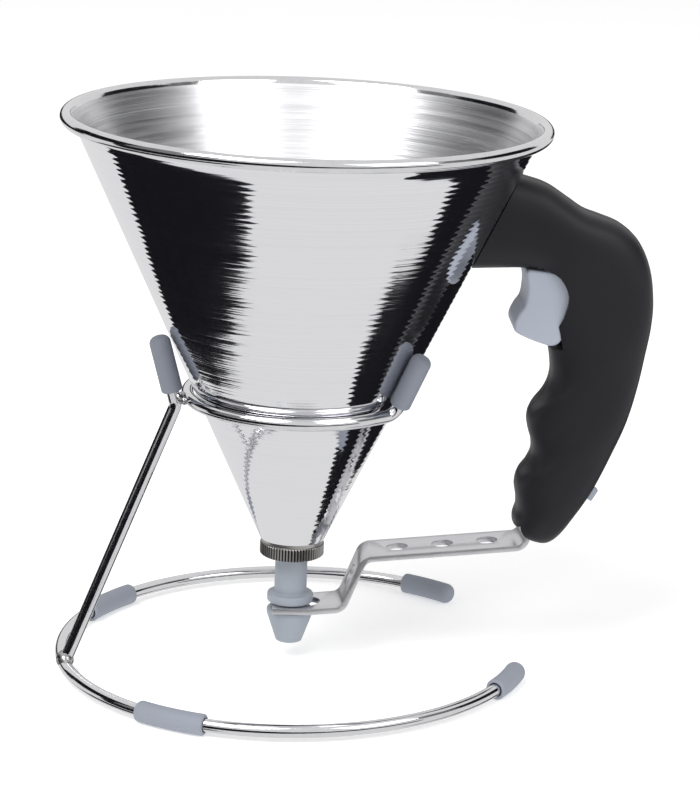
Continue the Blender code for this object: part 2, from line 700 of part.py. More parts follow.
def build_trigger(frame, plastic):
    """The finger trigger, its hidden ear on the pin and its tail through the strip's window."""
    pivot = on_handle(*pivot_share)
    outline = []
    for share in trigger_shares:
        place = on_handle(*share)
        outline.append((place[0] - pivot[0], place[1] - pivot[1]))
    trigger = side_prism("trigger", outline, TRIGGER_WIDTH, plastic, frame)
    edge = trigger.modifiers.new("edges", "BEVEL")
    edge.width = TRIGGER_EDGE
    edge.segments = 2
    edge.angle_limit = EDGE_ANGLE
    sunk = on_handle(0, trigger_shares[5][1])[1] - pivot[1]
    ear = [(-EAR_RADIUS, sunk), (EAR_RADIUS, sunk)]
    for step in range(2 * ARC_STEPS + 1):
        angle = math.pi * step / (2 * ARC_STEPS)
        ear.append((EAR_RADIUS * math.cos(angle), EAR_RADIUS * math.sin(angle)))
    combine(trigger, side_prism("trigger_ear", ear, EAR_WIDTH, None, frame), "UNION")
    fall = tail_angle()
    along = Vector((math.cos(fall), 0, -math.sin(fall)))
    across = Vector((math.sin(fall), 0, math.cos(fall))) * TAIL_THICKNESS / 2
    reach = strip_corners()[-1].x - pivot[0] + TAIL_OVERRUN
    tip = along * reach
    start = along * PIN_RADIUS * 2
    outline = flat([start - across, tip - across, tip + across, start + across])
    combine(trigger, side_prism("trigger_tail", outline, TAIL_WIDTH, None, frame), "UNION")
    half = TRIGGER_WIDTH
    hole = rod("pin_hole_in_trigger", Vector((0, -half, 0)), Vector((0, half, 0)),
               PIN_RADIUS + FIT_GAP, None, frame, PIN_STEPS)
    combine(trigger, hole)


def build_pin(frame, steel):
    """The steel pin that the trigger turns on."""
    half = EAR_WIDTH / 2 + PIN_SEAT
    rod("trigger_pin", Vector((0, -half, 0)), Vector((0, half, 0)), PIN_RADIUS, steel, frame, PIN_STEPS)


def handle_half(name, side, surface, frame):
    """One half of the handle as a loft, flat where it meets the other half."""
    flat_side = SHELL_SEAM / 2
    rings = []
    for station in range(HANDLE_STATIONS + 1):
        share = station / HANDLE_STATIONS
        front = on_handle(*flowing(front_shares, share))
        back = on_handle(*flowing(back_shares, share))
        width_share, squareness = flowing(section_shares, share)
        middle = Vector((front[0] + back[0], 0, front[1] + back[1])) / 2
        deep = Vector((back[0] - front[0], 0, back[1] - front[1])) / 2
        half_width = HANDLE_WIDTH / 2 * width_share - flat_side
        ring = []
        for step in range(HANDLE_SECTION_STEPS + 1):
            angle = math.pi * step / HANDLE_SECTION_STEPS
            forward = math.copysign(abs(math.cos(angle)) ** (2 / squareness), math.cos(angle))
            outward = abs(math.sin(angle)) ** (2 / squareness)
            sideways = side * (flat_side + half_width * outward)
            ring.append(middle + deep * forward + Vector((0, sideways, 0)))
        rings.append(ring)
    return solid(name, rings, surface, frame)


def channel_outline():
    """Room for the strip inside the handle, at rest and lifted."""
    corners = strip_corners()[4:]
    lift = Vector((0, 0, STROKE))
    margin = STRIP_THICKNESS / 2 + SLIDE_GAP
    corners[0] -= lift
    corners[-1] += lift + Vector((0, 0, SLIDE_GAP))
    resting = eased(corners, STRIP_BEND)
    raised = [point + lift for point in resting]
    raised[0] = resting[0]
    raised[-1] = resting[-1]
    return flat(offset_line(raised, margin) + offset_line(resting, -margin)[::-1])


def build_handle(frame, steel, plastic, light_plastic):
    """Two moulded shells, cut out for all that they hold, and what fastens them."""
    shells = {side: handle_half(name, side, plastic, frame)
              for name, side in (("handle_shell_near", -1), ("handle_shell_far", 1))}
    pivot = on_handle(*pivot_share)
    corners = strip_corners()
    shaft = corners[-1].x
    cutters = []

    # The cone, with the gap that the arm keeps to it
    reach = FIT_GAP / math.cos(bowl_lean)
    low, high = bowl_bottom, RIM_HEIGHT
    cutters.append(turned("bowl_cut", [
        (0, low), (bowl_radius(low) + reach, low), (bowl_radius(high) + reach, high), (0, high)],
        None, frame, RING_STEPS))
    pad_low, pad_high = (on_handle(0, share)[1] for share in pad_shares)
    reach = (FIT_GAP + BRACKET_PLATE + FIT_GAP) / math.cos(bowl_lean)
    pocket = turned("pad_pocket", [
        (0, low), (bowl_radius(low) + reach, low), (bowl_radius(high) + reach, high), (0, high)],
        None, frame, RING_STEPS)
    pad_far = bowl_radius(pad_high) + BRACKET_WIDTH
    limit = side_box("pad_pocket_limit", (0, pad_low - FIT_GAP), (pad_far, pad_high + FIT_GAP),
                     BRACKET_WIDTH + 2 * FIT_GAP, frame)
    combine(pocket, limit, "INTERSECT")
    cutters.append(pocket)
    tongue_end, tongue_low = on_handle(tongue_shares[0], tongue_shares[1])
    tongue_high = on_handle(0, tongue_shares[2])[1]
    tongue_start = bowl_radius(tongue_low)
    cutters.append(side_box("tongue_slot", (tongue_start, tongue_low - FIT_GAP),
                            (tongue_end + FIT_GAP, tongue_high + FIT_GAP),
                            TONGUE_THICKNESS + 2 * FIT_GAP, frame))

    # The trigger's mouth and the room behind it
    mouth = [on_handle(*share) for share in mouth_shares]
    cutters.append(side_prism("trigger_mouth", mouth, HANDLE_WIDTH + CUT_OVERRUN, None, frame))
    room = [on_handle(*share) for share in trigger_room_shares]
    cutters.append(side_prism("trigger_room", room, TRIGGER_WIDTH + 2 * FIT_GAP, None, frame))
    room = [on_handle(*share) for share in ear_room_shares]
    cutters.append(side_prism("ear_room", room, EAR_WIDTH + 2 * FIT_GAP, None, frame))
    swing = STROKE / 2 + TAIL_THICKNESS / 2 + 2 * SLIDE_GAP
    cutters.append(side_box("tail_room", (pivot[0], pivot[1] - swing),
                            (shaft + TAIL_OVERRUN + SLIDE_GAP, pivot[1] + swing),
                            TAIL_WIDTH + 4 * SLIDE_GAP, frame))

    # The strip's channel, its notch in the bottom and the spring's pocket
    cutters.append(side_prism("strip_channel", channel_outline(), 2 * strip_half, None, frame))
    margin = STRIP_THICKNESS / 2 + SLIDE_GAP
    notch_far, notch_near = corners[4].x + margin, corners[4].x - margin
    notch_low, notch_top = entry_level - STROKE, entry_level + STROKE + margin
    bend_room = STRIP_BEND / 2
    notch = ((handle_start, notch_low), (notch_far, notch_low), (notch_far, notch_top + bend_room),
             (notch_near, notch_top + bend_room), (notch_near - bend_room, notch_top),
             (handle_start, notch_top))
    cutters.append(side_prism("strip_notch", notch, 2 * strip_half, None, frame))
    tab_level = on_handle(0, spring_tab_share)[1] - STRIP_THICKNESS / 2 - SLIDE_GAP
    roof = on_handle(0, spring_ceiling_share)[1]
    cutters.append(side_box("spring_pocket", (shaft, tab_level),
                            (shaft + STRIP_THICKNESS / 2 + SPRING_TAB_LENGTH + SLIDE_GAP, roof),
                            2 * SPRING_RADIUS + 2 * SLIDE_GAP, frame))

    # The pin's seats
    half = EAR_WIDTH / 2 + PIN_SEAT + FIT_GAP
    middle = Vector((pivot[0], 0, pivot[1]))
    cutters.append(rod("pin_seats", middle - Vector((0, half, 0)), middle + Vector((0, half, 0)),
                       PIN_RADIUS + FIT_GAP, None, frame, PIN_STEPS))
    slide_frame = build_slide(frame, light_plastic, cutters)
    for cutter in cutters:
        for side in (-1, 1):
            combine(shells[side], cutter)
    bracket = build_bracket(frame, steel, (pad_low, pad_high, pad_far),
                            (tongue_start, tongue_low, tongue_end, tongue_high))
    screws = (("arm", arm_screw_share), ("shoulder", shoulder_screw_share), ("grip", grip_screw_share))
    for name, share in screws:
        build_screw(name, on_handle(*share), frame, steel, shells, bracket)
    return slide_frame


def build_bracket(frame, steel, pad, tongue):
    """The plate welded to the cone, with a tongue that the handle is screwed to."""
    pad_low, pad_high, pad_far = pad
    tongue_start, tongue_low, tongue_end, tongue_high = tongue
    inner = FIT_GAP / math.cos(bowl_lean)
    outer = (FIT_GAP + BRACKET_PLATE) / math.cos(bowl_lean)
    low, high = pad_low - BRACKET_PLATE, pad_high + BRACKET_PLATE
    plate = turned("handle_bracket", [
        (bowl_radius(low) + inner, low), (bowl_radius(low) + outer, low),
        (bowl_radius(high) + outer, high), (bowl_radius(high) + inner, high)], steel, frame, RING_STEPS)
    combine(plate, side_box("bracket_limit", (0, pad_low), (pad_far, pad_high), BRACKET_WIDTH, frame),
            "INTERSECT")
    root = tongue_start + (tongue_high - tongue_low) * bowl_slope + outer - BRACKET_PLATE / 2
    lean = (tongue_high - tongue_low) * bowl_slope
    outline = ((root - lean, tongue_low), (tongue_end, tongue_low), (tongue_end, tongue_high),
               (root, tongue_high))
    combine(plate, side_prism("bracket_tongue", outline, TONGUE_THICKNESS, None, frame), "UNION")
    return plate


def build_screw(name, place, frame, steel, shells, bracket):
    """A screw from the far side through one shell into the other."""
    middle = Vector((place[0], 0, place[1]))
    hub = empty("screw_place_" + name, frame, middle)
    hub.rotation_euler = (-math.pi / 2, 0, 0)
    head = SCREW_HEAD_SEAT + FIT_GAP
    top = head + SCREW_HEAD_HEIGHT
    round_off = SCREW_HEAD_HEIGHT / 3
    turned("handle_screw_" + name, [
        (0, -SCREW_REACH), (SCREW_RADIUS * screw_point_share, -SCREW_REACH),
        (SCREW_RADIUS, SCREW_RADIUS - SCREW_REACH),
        (SCREW_RADIUS, head), (SCREW_HEAD_RADIUS, head), (SCREW_HEAD_RADIUS, top - round_off),
        (SCREW_HEAD_RADIUS - round_off, top), (0, top)], steel, hub, SCREW_STEPS)
    hole = SCREW_RADIUS + FIT_GAP
    recess = SCREW_HEAD_RADIUS + FIT_GAP
    end = HANDLE_WIDTH
    bore = turned("screw_bore_" + name, [
        (0, -SCREW_REACH - FIT_GAP), (hole, -SCREW_REACH - FIT_GAP), (hole, SCREW_HEAD_SEAT),
        (recess, SCREW_HEAD_SEAT), (recess, end), (0, end)], None, hub, SCREW_STEPS)
    for side in (-1, 1):
        combine(shells[side], bore)
    if name == "arm":
        combine(bracket, bore)


def build_slide(frame, plastic, cutters):
    """The small stroke slide, a T in a T-shaped slot along the back of the grip."""
    place = on_handle(*slide_share)
    hub = empty("stroke_slide_frame", frame, (place[0], 0, place[1]))
    hub.rotation_euler = (0, math.atan2(*slide_slope_share), 0)
    deep = -SLIDE_LIP - SLIDE_BODY_DEPTH

    def section(extra, outward, level):
        neck = SLIDE_NECK / 2 + extra
        body = SLIDE_BODY_WIDTH / 2 + extra
        places = ((deep - extra, -body), (-SLIDE_LIP + extra, -body), (-SLIDE_LIP + extra, -neck),
                  (outward, -neck), (outward, neck), (-SLIDE_LIP + extra, neck),
                  (-SLIDE_LIP + extra, body), (deep - extra, body))
        return [Vector((across, sideways, level)) for across, sideways in places]

    half = SLIDE_LENGTH / 2
    prism("stroke_slide", section(0, SLIDE_KNOB, -half), Vector((0, 0, SLIDE_LENGTH)), plastic, hub)
    low = -half - SLIDE_GAP
    high = half + SLIDE_TRAVEL + SLIDE_GAP
    cutters.append(prism("slide_slot", section(FIT_GAP, SLIDE_KNOB + CUT_OVERRUN, low),
                         Vector((0, 0, high - low)), None, hub))
    return hub


def centre_on_footprint(root):
    """Move everything so that the origin is the middle of the footprint, at its lowest level."""
    bpy.context.view_layer.update()
    graph = bpy.context.evaluated_depsgraph_get()
    corners = []
    for piece in bpy.context.scene.objects:
        if piece.type == "MESH" and not piece.hide_render:
            shape = piece.evaluated_get(graph)
            corners += [shape.matrix_world @ vertex.co for vertex in shape.data.vertices]
    low = [min(corner[axis] for corner in corners) for axis in range(3)]
    high = [max(corner[axis] for corner in corners) for axis in range(3)]
    root.location = (-(low[0] + high[0]) / 2, -(low[1] + high[1]) / 2, -low[2])
    bpy.context.view_layer.update()


def main():
    for item in list(bpy.context.scene.objects):
        bpy.data.objects.remove(item)
    polished = material("polished_steel", (0.82, 0.82, 0.83), 0.08, 1.0)
    satin = material("satin_steel", (0.62, 0.62, 0.64), 0.32, 1.0)
    knurled = material("knurled_steel", (0.50, 0.50, 0.50), 0.30, 1.0)
    black = material("black_plastic", (0.026, 0.026, 0.032), 0.45)
    grey = material("grey_plastic", (0.37, 0.42, 0.50), 0.42)
    pale = material("pale_tube_plastic", (0.27, 0.32, 0.38), 0.38)
    rubber = material("grey_rubber", (0.16, 0.18, 0.22), 0.60)
    seal = material("seal_rubber", (0.05, 0.05, 0.055), 0.60)

    root = empty("funnel_and_stand")
    stand = empty("stand_frame", root)
    stand.matrix_basis = Matrix.Rotation(STAND_TURN, 4, "Z")
    funnel = empty("funnel_frame", root)
    crossing = Matrix.Translation((0, 0, LEAN_LEVEL))
    leaning = crossing @ Matrix.Rotation(LEAN, 4, "Y") @ crossing.inverted()
    funnel.matrix_basis = leaning
    cradle = empty("cradle_frame", root)
    cradle.matrix_basis = leaning @ Matrix.Rotation(STAND_TURN, 4, "Z")

    build_base_ring(stand, polished)
    build_feet(stand, rubber)
    cradle_radius = build_cradle(cradle, polished, rubber)
    build_leg(cradle, stand, cradle_radius, polished, rubber)
    build_bowl(funnel, polished)
    build_outlet(funnel, knurled, seal, pale)
    build_piston(funnel, pale)
    build_strip(funnel, satin)
    build_spring(funnel, satin)
    pivot = on_handle(*pivot_share)
    axle = empty("trigger_axis", funnel, (pivot[0], 0, pivot[1]))
    build_trigger(axle, grey)
    build_pin(axle, satin)
    build_handle(funnel, satin, black, grey)
    centre_on_footprint(root)


main()
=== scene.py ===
"""Piston funnel: finer pieces, finishes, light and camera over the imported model."""
import math

import bpy
import bmesh
from mathutils import Matrix, Quaternion, Vector


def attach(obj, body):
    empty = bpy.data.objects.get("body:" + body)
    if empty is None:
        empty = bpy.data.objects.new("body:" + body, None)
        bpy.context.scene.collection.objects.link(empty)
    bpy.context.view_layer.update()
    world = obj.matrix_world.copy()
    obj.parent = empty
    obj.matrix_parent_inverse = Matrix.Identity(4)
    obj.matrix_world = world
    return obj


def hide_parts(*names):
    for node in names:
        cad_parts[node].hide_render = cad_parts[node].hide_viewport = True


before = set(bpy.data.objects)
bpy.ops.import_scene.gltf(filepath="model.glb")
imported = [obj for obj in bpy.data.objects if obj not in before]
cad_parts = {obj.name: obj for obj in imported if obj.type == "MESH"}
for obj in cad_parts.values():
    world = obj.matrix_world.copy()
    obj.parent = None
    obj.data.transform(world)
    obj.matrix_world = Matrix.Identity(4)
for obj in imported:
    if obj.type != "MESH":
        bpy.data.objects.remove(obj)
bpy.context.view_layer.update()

# Bowl
RIM_RADIUS = 0.0750
RIM_HEIGHT = 0.1723
BEAD_RADIUS = 0.0020
OUTLET_RADIUS = 0.0101
OUTLET_LEVEL = 0.0396
BOWL_WALL = 0.0008
BEAD_START = math.radians(-140)
BEAD_SWEEP = math.radians(290)
bead_overhang_share = 1.65

# Clearances
FIT_GAP = 0.0003
SLIDE_GAP = 0.0004
CUT_OVERRUN = 0.0030

# Outlet fittings, from the nut down to the tip of the nozzle
NUT_HEIGHT = 0.0056
NUT_LIP = 0.0012
TOOTH_DEPTH = 0.0004
FERRULE_BORE = 0.0072
FERRULE_WALL = 0.0009
BUSH_LENGTH = 0.0069
TUBE_RADIUS = 0.0051
TUBE_BORE = 0.0033
TUBE_CROWN = 0.0094
PORT_HEIGHT = 0.0050
PORT_WIDTH = 0.0044
FLANGE_RADIUS = 0.0073
FLANGE_HEIGHT = 0.0029
NECK_RADIUS = 0.0042
SOCKET_DEPTH = 0.0072
TIP_LENGTH = 0.0107
TIP_BAND = 0.0015
TIP_MOUTH_RADIUS = 0.00415
TIP_CLEARANCE = 0.0055

# Lifter strip
STRIP_THICKNESS = 0.0018
STRIP_WIDTH = 0.0165
STRIP_BEND = 0.0040
FORK_REACH = 0.0057
FORK_SLOT_END = 0.0095
FORK_FLAT = 0.0062
RISER_START = 0.0163
RISER_RUN = 0.00635
STRIP_HOLE_RADIUS = 0.0034
STRIP_SLOPE = math.radians(5.8)
STROKE = 0.0050

# Handle, whose outline follows these four sizes
HANDLE_STANDOFF = 0.0072
HANDLE_REACH = 0.0502
HANDLE_HEIGHT = 0.1159
HANDLE_WIDTH = 0.0260
HANDLE_DROP = 0.0148
HANDLE_CLEARANCE = 0.0012
SHELL_SEAM = 0.0003

# Trigger and what it carries
TRIGGER_WIDTH = 0.0186
TRIGGER_EDGE = 0.0013
EAR_WIDTH = 0.0120
EAR_RADIUS = 0.0040
TAIL_WIDTH = 0.0050
TAIL_THICKNESS = 0.0030
TAIL_OVERRUN = 0.0028
PIN_RADIUS = 0.0015
SPRING_RADIUS = 0.0036
SPRING_TAB_LENGTH = 0.0088

# Handle fastenings
SCREW_RADIUS = 0.0014
SCREW_HEAD_RADIUS = 0.0028
SCREW_HEAD_HEIGHT = 0.0018
SCREW_HEAD_SEAT = 0.0055
SCREW_REACH = 0.0065
CROSS_REACH = 0.0016
CROSS_HALF = 0.0003
CROSS_DEPTH = 0.0009
CROSS_CUT = 0.0020
CROSS_TURN = 0.4
BRACKET_PLATE = 0.0015
BRACKET_WIDTH = 0.0160

# Stroke slide in the back of the grip
SLIDE_LENGTH = 0.0040
SLIDE_NECK = 0.0034
SLIDE_BODY_WIDTH = 0.0066
SLIDE_BODY_DEPTH = 0.0024
SLIDE_LIP = 0.0020
SLIDE_KNOB = 0.0024
SLIDE_TRAVEL = 0.0080

# Wire stand
WIRE_RADIUS = 0.0020
SLEEVE_RADIUS = 0.0033
SLEEVE_SIDES = 32
CAD_SLEEVE_SIDES = 12
SLEEVE_ROUND = 0.0008
BASE_RADIUS = 0.0732
CRADLE_LEVEL = 0.0861
CRADLE_POST = 0.0180
CRADLE_BEND = 0.0042
LEG_TOP = 0.1040
CAP_LENGTH = 0.0160
CAP_DOME = 0.0021
CAP_ROUND = 0.0022
MOUTH_ROUND = 0.0007
END_RISE = 0.00015
cap_bore_share = 0.86
LEG_START = 0.0012
RING_WELD_SHIFT = (0.0002, 0, 0.0012)
RING_WELD = (0.0034, 0.0027)
LOOP_WELD = (0.0030, 0.0016)
LOOP_WELD_LEAN = 0.2
BASE_OPENING = math.radians(31.5)
CRADLE_OPENING = math.radians(47.4)
FOOT_PLACE = math.radians(133)
FOOT_SPAN = math.radians(18)
FOOT_CAP_SPAN = math.radians(13.5)

# How the object stands in use
LEAN = math.radians(1.54)
LEAN_LEVEL = 0.0450
STAND_TURN = math.radians(11.6)

# Facets
RING_STEPS = 256
BORE_STEPS = 96
PIN_STEPS = 40
SCREW_STEPS = 40
BEAD_STEPS = 28
WIRE_SIDES = 28
ARC_STEPS = 14
ROUND_STEPS = 6
SKIN_ROWS = 24
WIRE_STEP = math.radians(1.5)
SAME_PLACE = 1e-7
HANDLE_STATIONS = 150
HANDLE_SECTION_STEPS = 26

# Outline of the handle in side view: share of the way along it, then shares of its reach and height
front_shares = (
    (0, -0.373, 0.748), (0.06, -0.102, 0.754), (0.12, 0.04, 0.757), (0.18, 0.166, 0.759),
    (0.23, 0.26, 0.752), (0.27, 0.31, 0.721), (0.32, 0.335, 0.664), (0.38, 0.347, 0.603),
    (0.44, 0.367, 0.548), (0.475, 0.387, 0.505), (0.51, 0.393, 0.465), (0.545, 0.373, 0.427),
    (0.57, 0.333, 0.394), (0.595, 0.284, 0.367), (0.625, 0.264, 0.339), (0.655, 0.276, 0.306),
    (0.685, 0.298, 0.275), (0.715, 0.3, 0.242), (0.745, 0.266, 0.207), (0.775, 0.224, 0.181),
    (0.805, 0.21, 0.15), (0.835, 0.224, 0.114), (0.865, 0.226, 0.086), (0.895, 0.21, 0.06),
    (0.93, 0.218, 0.034), (0.965, 0.252, 0.014), (0.99, 0.317, 0.004), (1, 0.369, -0),
)
back_shares = (
    (0, -0.182, 1.041), (0.06, 0.16, 1), (0.12, 0.308, 0.98), (0.18, 0.439, 0.945),
    (0.23, 0.547, 0.915), (0.27, 0.646, 0.9), (0.32, 0.772, 0.879), (0.38, 0.891, 0.835),
    (0.44, 0.967, 0.766), (0.51, 1.001, 0.681), (0.57, 0.999, 0.608), (0.625, 0.977, 0.537),
    (0.685, 0.939, 0.437), (0.745, 0.885, 0.341), (0.805, 0.806, 0.253), (0.865, 0.71, 0.16),
    (0.895, 0.654, 0.117), (0.93, 0.589, 0.073), (0.965, 0.527, 0.033), (0.99, 0.469, 0.007),
    (1, 0.423, 0.001),
)
# Share of the way along the handle, share of its width, and how square its section is
section_shares = (
    (0, 0.90, 3.2), (0.2, 0.90, 3.2), (0.3, 0.93, 3.2), (0.45, 0.93, 3.0), (0.6, 0.97, 2.8),
    (0.75, 1, 2.6), (0.88, 1, 2.6), (0.93, 0.96, 2.5), (0.965, 0.85, 2.4), (0.99, 0.66, 2.3),
    (1, 0.5, 2.2),
)
# The parts inside the handle lie on shares of the same reach and height
trigger_shares = (
    (0.196, 0.758), (0.274, 0.76), (0.354, 0.759), (0.426, 0.748), (0.475, 0.725), (0.501, 0.693),
    (0.501, 0.664), (0.489, 0.63), (0.463, 0.595), (0.418, 0.566), (0.374, 0.557), (0.328, 0.56),
    (0.226, 0.575), (0.149, 0.591), (0.133, 0.604), (0.137, 0.621), (0.162, 0.645), (0.194, 0.668),
    (0.204, 0.711),
)
mouth_shares = (
    (0.032, 0.761), (0.192, 0.762), (0.246, 0.765), (0.32, 0.762), (0.364, 0.755), (0.396, 0.745),
    (0.423, 0.73), (0.445, 0.712), (0.457, 0.695), (0.457, 0.676), (0.447, 0.658), (0.433, 0.635),
    (0.41, 0.614), (0.382, 0.593), (0.361, 0.573), (0.341, 0.561), (0.312, 0.546), (0.032, 0.539),
)
trigger_room_shares = (
    (0.04, 0.544), (0.388, 0.543), (0.552, 0.559), (0.616, 0.592), (0.616, 0.739), (0.57, 0.77),
    (0.269, 0.771), (0.247, 0.765), (0.04, 0.762),
)
ear_room_shares = ((0.245, 0.753), (0.46, 0.753), (0.46, 0.835), (0.245, 0.835))
pivot_share = (0.337, 0.792)
strip_entry_share = 0.293
strip_knee_share = 0.064
strip_shaft_share = (0.677, 0.288)
strip_top_share = 0.814
spring_tab_share = 0.568
arm_screw_share = (0.315, 0.892)
shoulder_screw_share = (0.829, 0.807)
grip_screw_share = (0.781, 0.374)
pad_shares = (0.788, 0.961)
slide_share = (0.677, 0.134)
slide_slope_share = (0.492, 0.870)
strip_hole_shares = (0.208, 0.489, 0.766)
riser_hole_share = 0.535

# Worked-out levels and places
tip_top = TIP_CLEARANCE + TIP_LENGTH
flange_bottom = tip_top + FIT_GAP + STRIP_THICKNESS + FIT_GAP
fork_level = tip_top + FIT_GAP + STRIP_THICKNESS / 2
nut_top = OUTLET_LEVEL
nut_bottom = nut_top - NUT_HEIGHT
bowl_bottom = nut_top + FIT_GAP
bowl_slope = (RIM_RADIUS - BEAD_RADIUS * bead_overhang_share - OUTLET_RADIUS) / (
    RIM_HEIGHT - OUTLET_LEVEL)
bowl_lean = math.atan(bowl_slope)
handle_floor = RIM_HEIGHT - HANDLE_DROP - HANDLE_HEIGHT
entry_level = handle_floor - HANDLE_CLEARANCE
strip_half = STRIP_WIDTH / 2 + FIT_GAP
base_level = SLEEVE_RADIUS * math.cos(math.pi / CAD_SLEEVE_SIDES)
wire_bore = WIRE_RADIUS + FIT_GAP


def bowl_radius(level):
    """Outer radius of the cone at a height."""
    return OUTLET_RADIUS + (level - OUTLET_LEVEL) * bowl_slope


handle_start = bowl_radius(handle_floor + HANDLE_HEIGHT * front_shares[1][2]) + HANDLE_STANDOFF


def on_handle(reach_share, height_share):
    """Distance from the funnel's axis and height of a place on the handle."""
    return (handle_start + HANDLE_REACH * reach_share, handle_floor + HANDLE_HEIGHT * height_share)


def solid(name, rings, looped=False, at=None):
    """Close rings of points into one body. A ring of one point is a pole."""
    shape = bmesh.new()
    rows = [[shape.verts.new(point) for point in ring] for ring in rings]
    pairs = list(zip(rows, rows[1:]))
    if looped:
        pairs.append((rows[-1], rows[0]))
    for lower, upper in pairs:
        count = max(len(lower), len(upper))
        for index in range(count):
            after = (index + 1) % count
            corners = (lower[index % len(lower)], lower[after % len(lower)],
                       upper[after % len(upper)], upper[index % len(upper)])
            shape.faces.new(list(dict.fromkeys(corners)))
    if not looped:
        for row in (rows[0], rows[-1]):
            if len(row) > 2:
                shape.faces.new(row)
    bmesh.ops.recalc_face_normals(shape, faces=shape.faces)
    mesh = bpy.data.meshes.new(name)
    shape.to_mesh(mesh)
    shape.free()
    if at is not None:
        mesh.transform(at)
    piece = bpy.data.objects.new(name, mesh)
    bpy.context.collection.objects.link(piece)
    return piece


cutters = []


def combine(target, tool, operation="DIFFERENCE"):
    """Cut, join or intersect a piece with a tool body, which goes once the piece is done."""
    change = target.modifiers.new(tool.name, "BOOLEAN")
    change.operation = operation
    change.object = tool
    change.solver = "EXACT"
    if tool not in cutters:
        cutters.append(tool)


def soften(piece, width, segments=3, angle=40):
    """Round a piece's sharp edges."""
    edge = piece.modifiers.new("edges", "BEVEL")
    edge.width = width
    edge.segments = segments
    edge.angle_limit = math.radians(angle)
    return edge


def settle(piece, world, body, nodes, slot, *finishes, sharp=35):
    """Apply a piece's modifiers, put it in the frame, hang it on its body and hide the model parts it takes the
    place of.
    """
    bpy.context.view_layer.update()
    graph = bpy.context.evaluated_depsgraph_get()
    mesh = bpy.data.meshes.new_from_object(piece.evaluated_get(graph))
    piece.modifiers.clear()
    piece.data = mesh
    mesh.transform(world)
    mesh.shade_smooth()
    mesh.set_sharp_from_angle(angle=math.radians(sharp))
    mesh.materials.clear()
    for finish in finishes:
        mesh.materials.append(finish)
    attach(piece, body)
    if nodes:
        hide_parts(*nodes)
    return piece


def circle(radius, level, steps, dip=0.0):
    """A ring about the vertical axis, or its pole. Every other point may dip inwards."""
    if radius == 0:
        return [Vector((0, 0, level))]
    ring = []
    for step in range(steps):
        angle = 2 * math.pi * step / steps
        reach = radius - dip * (step % 2)
        ring.append(Vector((reach * math.cos(angle), reach * math.sin(angle), level)))
    return ring


def turned(name, profile, steps=BORE_STEPS, toothed=(), at=None):
    """Spin a closed profile of (radius, height) points about the vertical axis."""
    rings = [circle(radius, level, steps, TOOTH_DEPTH if index in toothed else 0.0)
             for index, (radius, level) in enumerate(profile)]
    return solid(name, rings, looped=len(rings[0]) > 1, at=at)


def rounded(profile, radius, steps=4):
    """Round the corners of a closed profile of (radius, height) points, apart from those on the axis."""
    points = [Vector((across, 0, level)) for across, level in profile]
    result = []
    count = len(points)
    for index, corner in enumerate(points):
        before, after = points[index - 1], points[(index + 1) % count]
        if corner.x == 0:
            result.append((corner.x, corner.z))
            continue
        inward, outward = corner - before, after - corner
        reach = min(radius, inward.length / 3, outward.length / 3)
        start, end = corner - inward.normalized() * reach, corner + outward.normalized() * reach
        for step in range(steps + 1):
            share = step / steps
            place = start * (1 - share) ** 2 + corner * 2 * share * (1 - share) + end * share**2
            result.append((place.x, place.z))
    return result


def prism(name, outline, depth, at=None):
    """Push a flat outline of points along a vector."""
    return solid(name, [outline, [point + depth for point in outline]], at=at)


def side_prism(name, outline, width, at=None):
    """Push an outline in the handle's middle plane out to half the width each way."""
    near = [Vector((across, -width / 2, level)) for across, level in outline]
    return prism(name, near, Vector((0, width, 0)), at=at)


def side_box(name, low, high, width):
    """A box between two corners in the handle's middle plane."""
    outline = ((low[0], low[1]), (high[0], low[1]), (high[0], high[1]), (low[0], high[1]))
    return side_prism(name, outline, width)


def rod(name, start, end, radius, steps=PIN_STEPS):
    """A straight round bar between two points."""
    return solid(name, tube_rings([start, end], [radius, radius], steps))


def eased(points, radius, steps=ARC_STEPS):
    """Round the corners of a route with arcs."""
    route = [points[0]]
    for before, corner, after in zip(points, points[1:], points[2:]):
        inward = (corner - before).normalized()
        outward = (after - corner).normalized()
        bend = inward.angle(outward)
        start = corner - inward * radius * math.tan(bend / 2)
        middle = corner + (outward - inward).normalized() * radius / math.cos(bend / 2)
        axis = inward.cross(outward)
        for step in range(steps + 1):
            route.append(middle + Quaternion(axis, bend * step / steps) @ (start - middle))
    route.append(points[-1])
    return route


def ring_about(point, direction, side, radius, sides):
    """A ring of points square to a direction, or the point alone where there is no radius."""
    if radius == 0:
        return [point]
    side = (side - direction * side.dot(direction)).normalized()
    other = direction.cross(side)
    turns = [2 * math.pi * (step + 0.5) / sides for step in range(sides)]
    return [point + (side * math.cos(turn) + other * math.sin(turn)) * radius for turn in turns]


def tube_rings(route, radii, sides, side=None):
    """Rings square to a route, carried along it without twist."""
    rings = []
    for index, (point, radius) in enumerate(zip(route, radii)):
        before = route[max(index - 1, 0)]
        after = route[min(index + 1, len(route) - 1)]
        direction = (after - before).normalized()
        side = side or direction.orthogonal()
        side = (side - direction * side.dot(direction)).normalized()
        rings.append(ring_about(point, direction, side, radius, sides))
    return rings


def arc_points(radius, level, start, end, step=math.radians(6)):
    """Points on a level circle, from one angle to another."""
    count = max(2, math.ceil(abs(end - start) / step))
    route = []
    for index in range(count + 1):
        angle = start + (end - start) * index / count
        route.append(Vector((radius * math.cos(angle), radius * math.sin(angle), level)))
    return route


